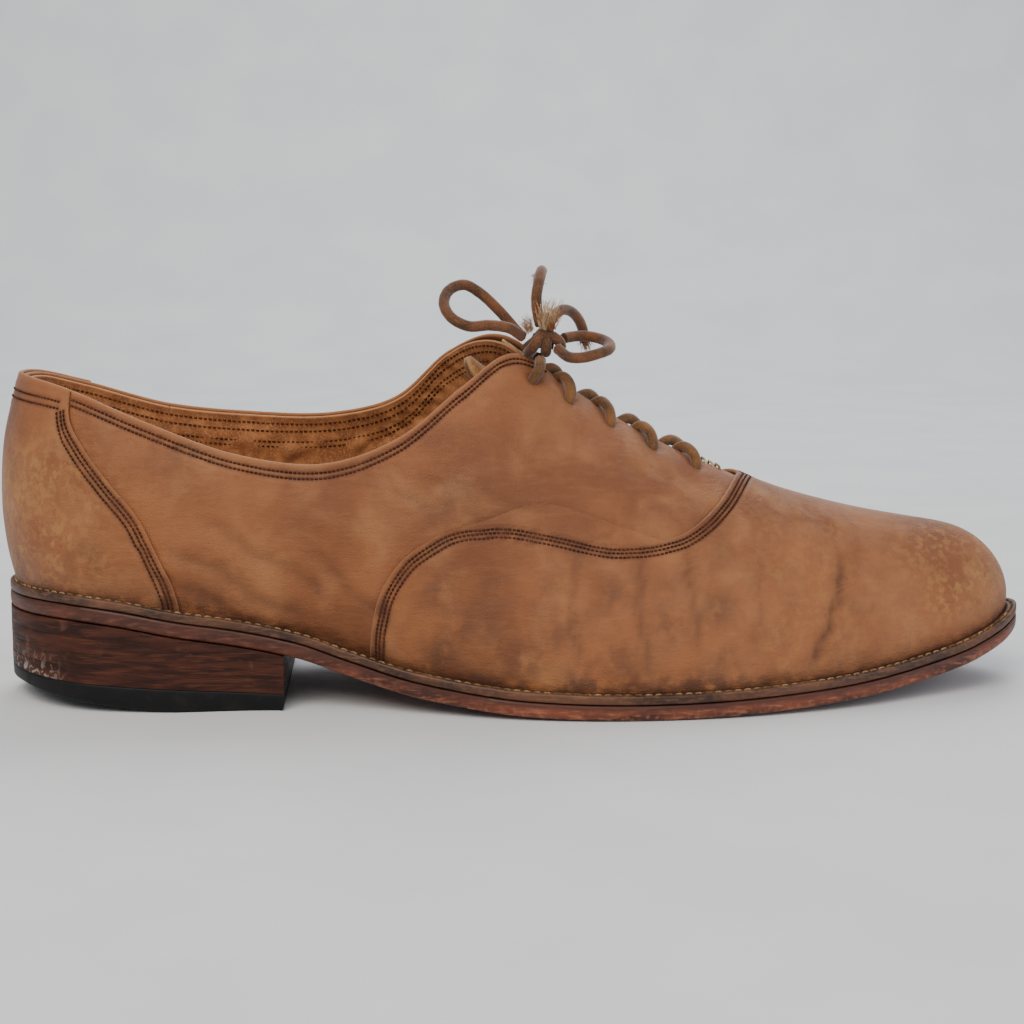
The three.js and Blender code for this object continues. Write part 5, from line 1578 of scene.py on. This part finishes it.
LOOSE_ROUTES = {
    "lace_loop_rear": [
        (154.2, -8.7, 107.2), (150.2, -12, 109.9), (144, -15, 111), (138, -15.8, 110.8),
        (133, -14.4, 113.2), (130.8, -10.2, 117.2), (132.6, -5.6, 121), (137.2, -3, 122.4),
        (142, -2.6, 119.8), (147, -2.9, 115.2), (150.8, -3.4, 111), (153.6, -4.4, 107.6),
    ],
    "lace_loop_front": [
        (164.5, -11.1, 103.8), (167.6, -15.2, 101.6), (171.6, -17.6, 101.6), (176, -16.8, 102.6),
        (179.6, -13, 103.6), (180.4, -8, 104.8), (178.4, -3.2, 106), (174.4, -1, 106.8),
        (170.4, -1.8, 106.8), (166.9, -4.4, 106.4),
    ],
    "lace_end_upright": [
        (159.6, -6.5, 110.7), (158.9, -7.9, 113.4), (158.4, -8.9, 116.4), (158.4, -8.7, 119.6),
        (159, -6.9, 122.4), (159.8, -3.8, 124.8), (160.4, 0, 126.2), (160.8, 4.2, 126.2),
        (160.3, 9.8, 124.2),
    ],
    "lace_end_short": [
        (162.4, -3.2, 109.2), (163.6, -0.4, 112), (165.6, 3, 113.8), (168.2, 7, 114.4),
        (171, 11, 113.2), (173.4, 15, 110.4), (175, 18.8, 106.6), (175.6, 20.8, 104),
    ],
}
KNOT_CENTRE = np.array([160.5, -7, 105.5])
KNOT_RADII = np.array([6, 5, 4.6])


def even(path: Array, step: float) -> Array:
    """The path's points again, about step mm apart."""
    run = np.concatenate([[0], np.cumsum(np.linalg.norm(np.diff(path, axis=0), axis=1))])
    at = np.linspace(0, run[-1], max(int(round(run[-1] / step)), 4) + 1)
    return np.stack([np.interp(at, run, path[:, k]) for k in range(3)], -1)


Relief = Callable[[Array, Array], Array]


def tube(build: Mesh, path: Array, radius: float, sides: int, relief: Relief | None = None) -> None:
    """Adds a closed tube along a path to a mesh. relief gives the radius's share by angle and run."""
    way = unit(np.gradient(path, axis=0))
    across = np.zeros_like(path)
    first = np.cross(way[0], [0, 0, 1.0])
    across[0] = unit(first if np.linalg.norm(first) > 0.1 else np.cross(way[0], [0, 1.0, 0]))
    for i in range(1, len(path)):
        turned = across[i - 1] - way[i] * np.dot(across[i - 1], way[i])
        across[i] = unit(turned)
    other = np.cross(way, across)
    run = np.concatenate([[0], np.cumsum(np.linalg.norm(np.diff(path, axis=0), axis=1))])
    angle = np.linspace(0, 2 * math.pi, sides, endpoint=False)
    share = np.ones((len(path), sides)) if relief is None else relief(angle[None], run[:, None])
    wear = np.zeros((len(path), sides, 4))
    # Red: painted shade where the relief dips between the strands.
    wear[..., 0] = np.clip((1 - share) / 0.14, 0, 1)
    r = radius * share
    circle = np.cos(angle)[None, :, None] * across[:, None] + np.sin(angle)[None, :, None] * other[:, None]
    start = build.add(path[:, None] + circle * r[..., None], wear)
    build.grid(start, len(path), sides, wrap=True)
    build.faces.append(tuple(range(start, start + sides))[::-1])
    end = start + (len(path) - 1) * sides
    build.faces.append(tuple(range(end, end + sides)))


def braided(angle: Array, run: Array) -> Array:
    """Relief of a round braid: eight strands each way, crossing every 1.1 mm."""
    strands = 8
    turn = 2 * math.pi * run / 4.4
    one = np.abs(np.sin((strands * angle + strands * turn) / 2))
    two = np.abs(np.sin((strands * angle - strands * turn) / 2))
    return 0.90 + 0.12 * np.sqrt(one * two)


@dataclass
class Lacing:
    """The lace: its threaded length, the knot, two loops and two frayed ends."""

    frame: Frame
    looks: Finishes
    legs_mm: float = 0.28
    stations: list[float] = field(init=False)
    frames: dict[Side, list[tuple[Array, Array]]] = field(init=False)

    def __post_init__(self) -> None:
        """Finds where the eyelets sit on both facings."""
        self.stations = self.facing_stations()
        self.frames = {side: [self.eyelet(i, side) for i in range(EYELETS)] for side in Side}

    @staticmethod
    def facing_stations() -> list[float]:
        """Stations along a facing edge, a pitch apart, from the ankle end down."""
        u = 8 + np.linspace(0, 1, 401) * (Upper.throat + 1 - 8)
        p = LAST.point(u, np.ones_like(u))
        run = np.concatenate([[0], np.cumsum(np.linalg.norm(np.diff(p, axis=0), axis=1))])
        wanted = EYELET_FIRST + EYELET_PITCH * np.arange(EYELETS)
        return [float(u[np.searchsorted(run, w)]) for w in wanted]

    @staticmethod
    def facet(u: float, v: float) -> Array:
        """A point on the CAD layers' flat facets, where the eyelets sit."""
        def pair(values: list[float], x: float) -> tuple[float, float, float]:
            """The two values on either side of x, and how far x is between them."""
            i = max(next((k for k, value in enumerate(values) if value > x), len(values) - 1), 1)
            return values[i - 1], values[i], (x - values[i - 1]) / (values[i] - values[i - 1])

        u0, u1, su = pair(LAYER_COLUMNS, u)
        v0, v1, sv = pair(LAYER_ROWS, v)
        corner = LAST.point(np.array([u0, u1, u0, u1]), np.array([v0, v0, v1, v1]))
        return lerp(lerp(corner[0], corner[1], su), lerp(corner[2], corner[3], su), sv)

    def eyelet(self, index: int, side: Side) -> tuple[Array, Array]:
        """An eyelet's place on the last and its outward axis."""
        u = self.stations[index]
        v = float(LAST.below_edge(u, EYELET_INSET))
        s = float(side.station(u))
        along_u = self.facet(s + 0.2, v) - self.facet(s - 0.2, v)
        along_v = self.facet(s, v + 0.02) - self.facet(s, v - 0.02)
        return self.facet(s, v), unit(np.cross(along_u, along_v))

    def holes(self) -> Array:
        """Where the lace comes out through each quarter."""
        return np.array([at + out * QUARTER_OUT for side in Side for at, out in self.frames[side]])

    @staticmethod
    def along(frame: tuple[Array, Array], depth: float) -> Array:
        """A point at a depth along a place's axis."""
        return frame[0] + frame[1] * depth

    def through(self, frame: tuple[Array, Array]) -> list[Array]:
        """The lace's rise through an eyelet."""
        return [self.along(frame, d) for d in (LACE_UNDER + 1.3, LACE_UNDER + 2.8, -2.4, -0.2)]

    def leg(self, index: int, side: Side) -> list[Array]:
        """One leg: up through an eyelet, over its facing, down into the gap and under the other."""
        eyelet = self.frames[side][index]
        other = Side.MEDIAL if side is Side.LATERAL else Side.LATERAL
        following = self.frames[other][index - 1]
        share = 0.27 if side is Side.LATERAL else 0.6
        u = lerp(self.stations[index], self.stations[index - 1], share)
        gap = (LAST.point(np.array(u), np.array(1.0)), LAST.normal(np.array(u), np.array(1.0)))

        def span(a: Any, depth_a: float, b: Any, depth_b: float, s: float) -> Array:
            """A point between two places on the facings, with its own depth at each."""
            return lerp(self.along(a, depth_a), self.along(b, depth_b), s)

        half_dip = LACE_UNDER - LACE_DIP / 2
        return [
            *self.through(eyelet),
            span(eyelet, LACE_OVER + 0.5, gap, LACE_OVER + 0.5, 0.3),
            span(eyelet, LACE_OVER, gap, LACE_OVER, 0.75),
            self.along(gap, -2.6),
            span(gap, half_dip, following, half_dip, 0.25),
            span(gap, LACE_UNDER, following, LACE_UNDER - LACE_DIP, 0.66),
        ]

    def threaded_path(self) -> Array:
        """From the knot down one row of eyelets, along the hidden bar, and up the other."""
        def climb(side: Side) -> list[Array]:
            """The points of the lace up from a side's lowest eyelet, changing sides at each leg."""
            points = []
            sign = side
            for i in range(EYELETS - 1, 0, -1):
                points += self.leg(i, sign)
                sign = Side.MEDIAL if sign is Side.LATERAL else Side.LATERAL
            last = self.frames[sign][0]
            knot = KNOT_CENTRE + np.array([-1, -sign.value * 3.6, 0])
            knot[2] -= KNOT_RADII[2] * 0.62 + LACE_R + 2 * GAP_MM
            rise = lerp(self.along(last, LACE_OVER + 0.6), knot, 0.3) + last[1] * 0.8
            return [*points, *self.through(last), rise, knot]

        first, second = climb(Side.MEDIAL)[::-1], climb(Side.LATERAL)
        ends = [self.along(self.frames[s][EYELETS - 1], LACE_UNDER - LACE_DIP) for s in (Side.MEDIAL,
                                                                                         Side.LATERAL)]
        bar = [lerp(*ends, s) for s in (0.25, 0.5, 0.75)]
        path = np.array([*first, *bar, *second])
        return spline(path, np.linspace(0, 1, 60 * len(path)), False)

    def cords(self) -> None:
        """The loops and ends, each built as a braided tube."""
        for name, route in LOOSE_ROUTES.items():
            line = spline(np.array(route, float), np.linspace(0, 1, 60 * len(route)), False)
            path = even(line, 0.25)
            build = Mesh()
            tube(build, path, LACE_R, 40, braided)
            piece = build.build(f"{name}_braid", self.frame, self.looks.lace_red)
            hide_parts(name)
            rings = self.frame.row(path)
            far_end = "object" if "loop" in name else "bare"

    def threaded(self) -> None:
        """The threaded lace and the knot's wraps."""
        build = Mesh()
        tube(build, even(self.threaded_path(), self.legs_mm), LACE_R, 36, braided)
        piece = build.build("lace_threaded_braid", self.frame, self.looks.lace)
        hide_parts("lace_threaded")
        build = Mesh()
        for shift, tilt, lean in ((-2.2, 0.35, 0.0), (1.1, -0.3, 0.25)):
            turn = np.linspace(0, 2 * math.pi, 70)
            ring = np.stack([
                shift + 1.2 * np.sin(turn + lean), 3.4 * np.cos(turn), 3.0 * np.sin(turn),
            ], -1)
            ring[:, 0] += tilt * ring[:, 2]
            tube(build, even(KNOT_CENTRE + ring, 0.25), LACE_R, 36, braided)
        cross = np.array([(-5.2, 1.5, -2.2), (-2.5, -2.0, 0.4), (0.6, -3.2, 2.4), (4.4, -2.6, 0.6),
                          (5.4, -1.2, -1.6)])
        tube(build, even(spline(KNOT_CENTRE + cross, np.linspace(0, 1, 200), False), 0.25), LACE_R * 0.98,
             36, braided)
        core = np.array([(-3.2, 0, 0.5), (0, 0, 0.2), (3.2, 0, -0.2)])
        tube(build, even(spline(KNOT_CENTRE + core, np.linspace(0, 1, 60), False), 0.25), 2.2, 30, braided)
        piece = build.build("lace_knot_braid", self.frame, self.looks.lace_red)
        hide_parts("lace_knot")

    def frays(self) -> None:
        """Loose fibres at the two ends and where the lace is rubbed through at the knot."""
        group = fray_group()
        spots = {
            "fray_upright": (np.array(LOOSE_ROUTES["lace_end_upright"][-1]), np.array([-0.1, 1, -0.3]), 1.6,
                             3.2, 7),
            "fray_short": (np.array(LOOSE_ROUTES["lace_end_short"][-1]), np.array([0.2, 0.5, -0.6]), 1.6,
                           4.0, 11),
            "fray_knot": (KNOT_CENTRE + np.array([1.0, -2.8, 4.4]), np.array([0.1, -0.3, 1.0]), 2.8, 7.5, 23),
            "fray_rear": (KNOT_CENTRE + np.array([-4.0, -2.0, 3.4]), np.array([-0.5, -0.3, 0.8]), 1.5, 4.5,
                          29),
        }
        for name, (centre, way, radius, length, seed) in spots.items():
            way = unit(way)
            side = unit(np.cross(way, [1.0, 0.2, 0]))
            other = np.cross(way, side)
            angle = np.linspace(0, 2 * math.pi, 16, endpoint=False)
            rim = centre + radius * (np.cos(angle)[:, None] * side + np.sin(angle)[:, None] * other)
            data = bpy.data.meshes.new(name + "_disc")
            data.from_pydata(self.frame.row(np.vstack([centre, rim])).tolist(), [],
                             [(0, 1 + k, 1 + (k + 1) % 16) for k in range(16)])
            values = {"Density": 9.0e6, "Seed": seed, "Material": self.looks.fibre}
            piece = group.apply(name, data, fibre_template(length, 0.11), values)


# ---- Sole and heel -----------------------------------------------------------------------------------


@dataclass
class Bottom:
    """The welt, outsole, heel lifts and top piece."""

    frame: Frame
    looks: Finishes
    stitching: Stitching
    heel_breast: float = 83.0
    lifts: int = 4
    outsole_top: float = -2.9
    outsole_bottom: float = -7.4

    @staticmethod
    def outline(u: Array, more: Any = 0.0) -> Array:
        """The sole's edge at stations u, moved out by more."""
        edge = LAST.plan(u)
        return LAST.plan(u, welt_reach(edge[..., 0]) + more)

    def welt(self) -> None:
        """The welt: a rounded band with a groove for its lockstitch, and the stitches."""
        u = np.linspace(0, RING, 900, endpoint=False)
        reach = welt_reach(LAST.plan(u)[:, 0])
        inner = lerp(QUARTER_OUT, UPPER_MM, covered(u)) + 0.3
        row = reach - 1.5
        profile = [
            (inner, 0.15), (row - 0.7, 0.1), (row - 0.3, -0.22), (row + 0.3, -0.22), (row + 0.65, 0.05),
            (reach - 0.45, 0.0), (reach - 0.12, -0.2), (reach, -0.6), (reach, -2.1), (reach - 0.15, -2.5),
            (reach - 0.5, -2.6), (inner, -2.6),
        ]
        points, wear = [], []
        for offset, height in profile:
            p = LAST.plan(u, offset)
            p[:, 2] = Last.feather_height(p[:, 0]) + height
            mark = np.zeros((len(u), 4))
            # Blue: painted shade in the corner where the welt meets the upper, fading outwards; its edge and
            # underside get a steady darker tone.
            mark[:, 2] = np.exp(-np.maximum(offset - inner, 0) / 0.9) if height > -0.3 else 0.3
            mark[:, 1] = 0.5 if height > -2.2 else 0.2
            points.append(p)
            wear.append(mark)
        build = Mesh()
        start = build.add(np.array(points), np.array(wear))
        n = len(u)
        build.grid(start, len(profile), n, wrap=True)
        last = start + (len(profile) - 1) * n
        build.faces += [(last + j, last + (j + 1) % n, start + (j + 1) % n, start + j) for j in range(n)]
        piece = build.build("welt_band", self.frame, self.looks.welt)
        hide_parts("welt")
        u = np.linspace(0, RING, 700)
        line = LAST.plan(u, welt_reach(LAST.plan(u)[:, 0]) - 1.5)
        line[:, 2] = Last.feather_height(line[:, 0]) - 0.12
        up = np.broadcast_to(np.array([0.0, 0.0, 1.0]), line.shape)
        sewn = self.stitching.sew("welt_stitches", [Row(line, up)], 2.9, 0.3, self.looks.welt_thread, 0.6)

    def slab(self, name: str, outer: Array, inner: Array, top: Callable[[Array], Array],
             bottom: Callable[[Array], Array], profile: Sequence[tuple[float, float, float]],
             wear: Callable[[Array, float], Array], material: bpy.types.Material) -> bpy.types.Object:
        """A slab between pairs of edge points, with a shaped edge all round.

        Args:
            name: the piece's name.
            outer: (n, 2) plan points of the outer edge from the heel back; inner: those of the inner edge.
            inner: the paired points; the last pair may be one point or the ends of a straight edge.
            top: height over plan points.
            bottom: height over plan points.
            profile: (inset, share of the way down, extra height) of each ring of the edge.
            wear: colours of wear for points and a share of the way down.
            material: its finish.

        Returns:
            The piece.
        """
        n, m = len(outer), 14
        pointed = bool(np.linalg.norm(outer[-1] - inner[-1]) < 1e-6)
        straight = [] if pointed else [lerp(outer[-1], inner[-1], j / m) for j in range(1, m)]
        back = inner[1:n - 1] if pointed else inner[1:]
        ring = np.vstack([outer, *([straight] if straight else []), back[::-1]])
        ahead, behind = np.roll(ring, -1, 0), np.roll(ring, 1, 0)
        way = unit(ahead - behind)
        out = np.stack([way[:, 1], -way[:, 0]], -1)
        build = Mesh()
        size = len(ring)
        starts = []
        for inset, share, extra in profile:
            flat = ring - out * inset
            z = lerp(top(flat), bottom(flat), share) + extra
            p = np.column_stack([flat, z])
            starts.append(build.add(p, wear(p, share)))
        for a, b in zip(starts, starts[1:]):
            build.faces += [(a + j, a + (j + 1) % size, b + (j + 1) % size, b + j) for j in range(size)]
        for level, (inset, share, extra) in ((0, profile[0]), (-1, profile[-1])):
            flat = ring - out * inset
            self.cap(build, flat, starts[level], n, m, pointed, lambda p, s=share,
                     e=extra: lerp(top(p), bottom(p), s) + e,
                     lambda p, s=share: wear(p, s))
        return build.build(name, self.frame, material, smooth_angle=0.9)

    @staticmethod
    def cap(build: Mesh, ring: Array, start: int, n: int, m: int, pointed: bool,
            height: Callable[[Array], Array], wear: Callable[[Array], Array]) -> None:
        """Fills a slab's top or bottom with a grid that ends in the ring's own points."""
        size = len(ring)
        last = n - 1
        index = np.zeros((n, m + 1), int)
        for i in range(n):
            left, right = i, (size - i) % size
            if i == 0 or (pointed and i == last):
                index[i] = start + left
                continue
            if i == last:
                index[i] = start + last + np.arange(m + 1)
                continue
            s = np.linspace(0, 1, m + 1)[1:-1, None]
            flat = lerp(ring[left][None], ring[right][None], s)
            p = np.column_stack([flat, height(flat)])
            first = build.add(p, wear(p))
            index[i] = [start + left, *range(first, first + m - 1), start + right]
        for i in range(n - 1):
            for j in range(m):
                quad = [index[i, j], index[i + 1, j], index[i + 1, j + 1], index[i, j + 1]]
                face = tuple(int(q) for k, q in enumerate(quad) if q not in quad[:k])
                if len(face) > 2:
                    build.faces.append(face)

    def edges(self, stations: Array) -> tuple[Array, Array]:
        """Paired plan points of the sole's outer and inner edge."""
        return self.outline(stations)[:, :2], self.outline(RING - stations)[:, :2]

    def outsole(self) -> None:
        """The leather outsole, rubbed on its lower arris."""
        outer, inner = self.edges(np.linspace(0, 16, 330))

        def level(height: float) -> Callable[[Array], Array]:
            """A height above the feather line, as a function of place."""
            return lambda p: Last.feather_height(p[:, 0]) + height

        def wear(p: Array, share: float) -> Array:
            """Scuffs, and painted shade under the welt, at a share of the way down the edge; darker towards
            the heel.
            """
            mark = np.zeros((len(p), 4))
            mark[:, 1] = 0.35 + 0.65 * smooth(0.4, 1.0, np.full(len(p), share))
            mark[:, 1] *= smooth(80, 130, p[:, 0]) * 0.7 + 0.3
            # Blue: painted shade at the top of the edge, under the welt, and darker towards the heel.
            mark[:, 2] = np.clip(np.exp(-share / 0.12) + 0.6 * (1 - smooth(78, 115, p[:, 0])), 0, 1)
            return mark

        profile = [(0.7, 0, 0.0), (0.15, 0, -0.25), (0.0, 0, -0.8), (-0.05, 0.5, 0), (0.05, 1, 0.9),
                   (0.4, 1, 0.25),
                   (1.1, 1, 0.0)]
        piece = self.slab("outsole_leather", outer, inner, level(self.outsole_top),
                          level(self.outsole_bottom),
                          profile, wear, self.looks.sole)
        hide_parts("outsole")

    def heel_edges(self) -> tuple[Array, Array]:
        """Paired plan points of the heel, ending on the straight breast line."""
        def breast(side: Side) -> float:
            """The station where a side meets the breast of the heel."""
            u = np.linspace(0, 8, 4001)
            return float(u[np.searchsorted(self.outline(side.station(u))[:, 0], self.heel_breast)])

        pairs = [np.linspace(0, breast(side), 110) for side in Side]
        return tuple(self.outline(side.station(u))[:, :2] for side, u in zip(Side, pairs))

    def top_piece_top(self, p: Array) -> Array:
        """Height of the top piece's upper face."""
        return lerp(10.0, 5.0, np.clip(p[:, 0] / self.heel_breast, -0.1, 1.1))

    def stack_top(self, p: Array) -> Array:
        """Height of the lifts' top, under the outsole."""
        return Last.feather_height(p[:, 0]) + self.outsole_bottom - GAP_MM

    @staticmethod
    def tread(p: Array) -> Array:
        """Height of the tread, worn away towards the outer back corner."""
        back = np.clip((52 - p[:, 0]) / 52, 0, 1.05)
        return 6.5 * back**1.35 * lerp(0.55, 1, smooth(12, -20, p[:, 1]))

    def heel(self) -> None:
        """Four leather lifts and the rubber top piece."""
        outer, inner = self.heel_edges()

        def at(share: float, extra: float = 0.0) -> Callable[[Array], Array]:
            """A height between the top piece and the top of the stack, as a function of place."""
            return lambda p: lerp(self.top_piece_top(p), self.stack_top(p), share) + extra

        def wear(p: Array, share: float) -> Array:
            """Knocks low at the back of a lift, and dirt in its joints."""
            mark = np.zeros((len(p), 4))
            mark[:, 1] = (1 - smooth(8, 22, p[:, 0])) * (1 - smooth(8, 17, p[:, 2])) * smooth(6, -8, p[:, 1])
            mark[:, 2] = 0.12 if share in (0, 1) else 0.0
            return mark

        for i in range(self.lifts):
            swell = 0.0 if i % 2 else 0.03
            profile = [(0.07 - swell, 0, 0.0), (0.02 - swell, 0, -0.06), (-swell, 0, -0.2), (-swell, 1, 0.2),
                       (0.02 - swell, 1, 0.06), (0.07 - swell, 1, 0.0)]
            top, bottom = at((i + 1) / self.lifts), at(i / self.lifts, 0.02)
            piece = self.slab(f"heel_lift_leather_{i + 1}", outer, inner, top, bottom, profile, wear,
                              self.looks.stack)
            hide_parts(f"heel_lift_{i + 1}")
        profile = [(0.3, 0, 0.0), (0.05, 0, -0.3), (0, 0, -0.8), (0.1, 1, 0.9), (0.4, 1, 0.3), (1.0, 1, 0.0)]
        piece = self.slab("top_piece_rubber", outer, inner, self.top_piece_top, self.tread, profile, wear,
                          self.looks.rubber)
        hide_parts("top_piece")

    def make(self) -> None:
        """Makes the welt, outsole and heel."""
        self.welt()
        self.outsole()
        self.heel()


# ---- Studio -------------------------------------------------------------------------------------------


@dataclass
class Studio:
    """The camera, floor and lights."""

    camera_place: tuple[float, float, float] = (-0.0355, -0.6001, 0.146)
    yaw: float = math.radians(3.2)
    pitch: float = math.radians(8.8)
    lens_mm: float = 69.7

    def camera(self) -> None:
        """The camera: a longish lens, a little above the shoe and turned towards its toe."""
        data = bpy.data.cameras.new("camera")
        data.lens = self.lens_mm
        data.sensor_width = 36
        data.clip_start = 0.01
        obj = bpy.data.objects.new("camera", data)
        obj.location = self.camera_place
        obj.rotation_euler = (math.pi / 2 - self.pitch, 0, -self.yaw)
        bpy.context.scene.collection.objects.link(obj)
        bpy.context.scene.camera = obj

    def floor(self) -> None:
        """A pale matt floor that curves up into a backdrop."""
        m = Material("studio_paper")
        base = m.lay("#d3d6d9", Tone("#dadcde", Grain(60, 3), (0.3, 0.7)))
        paper = m.finish(base, 0.9, [(Grain(1.2, 3), 0.02)])
        run = [(-3.0, 0.0), (0.9, 0.0)]
        run += [(0.9 + 0.5 * math.sin(a), 0.5 - 0.5 * math.cos(a)) for a in np.linspace(0.1, math.pi / 2, 16)]
        run.append((1.4, 3.0))
        points = [(x, y, z) for y, z in run for x in (-3.5, 3.5)]
        faces = [(2 * i, 2 * i + 1, 2 * i + 3, 2 * i + 2) for i in range(len(run) - 1)]
        data = bpy.data.meshes.new("floor")
        data.from_pydata(points, [], faces)
        data.shade_smooth()
        data.materials.append(paper)
        obj = bpy.data.objects.new("floor", data)
        bpy.context.scene.collection.objects.link(obj)

    def light(self, name: str, place: tuple[float, float, float], size: float, power: float,
              tint: str) -> None:
        """A square soft light aimed at the shoe."""
        data = bpy.data.lights.new(name, "AREA")
        data.size = size
        data.energy = power
        data.color = colour(tint)[:3]
        obj = bpy.data.objects.new(name, data)
        obj.location = place
        aim = Vector((0, 0, 0.04)) - Vector(place)
        obj.rotation_euler = aim.to_track_quat("-Z", "Y").to_euler()
        bpy.context.scene.collection.objects.link(obj)

    def lights(self) -> None:
        """A broad key from above the camera, a softer one from behind, and a pale sky."""
        self.light("key", (-0.5, -1.1, 1.3), 1.2, 26, "#fff6ea")
        self.light("fill", (1.2, -0.8, 0.6), 1.0, 7, "#f1f5ff")
        self.light("rim", (0.2, 0.9, 1.2), 1.0, 12, "#ffffff")
        world = bpy.data.worlds.new("sky")
        world.use_nodes = True
        world.node_tree.nodes["Background"].inputs["Color"].default_value = colour("#e6e9ee")
        world.node_tree.nodes["Background"].inputs["Strength"].default_value = 0.55
        bpy.context.scene.world = world


def main() -> None:
    """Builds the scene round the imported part."""
    logging.basicConfig(level=logging.INFO, format="%(message)s")
    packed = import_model()
    studio = Studio()
    studio.camera()
    frame = Frame()
    looks = Finishes()
    lacing = Lacing(frame, looks)
    lacing.cords()
    keep_cad_nodes(packed, looks)
    stitching = Stitching(frame)
    upper = Upper(frame, looks, stitching, lacing.holes())
    upper.make()
    Linings(frame, looks, stitching, upper).make()
    TonguePiece(frame, looks).make()
    lacing.threaded()
    lacing.frays()
    Bottom(frame, looks, stitching).make()
    studio.floor()
    studio.lights()


if __name__ == "__main__":
    main()
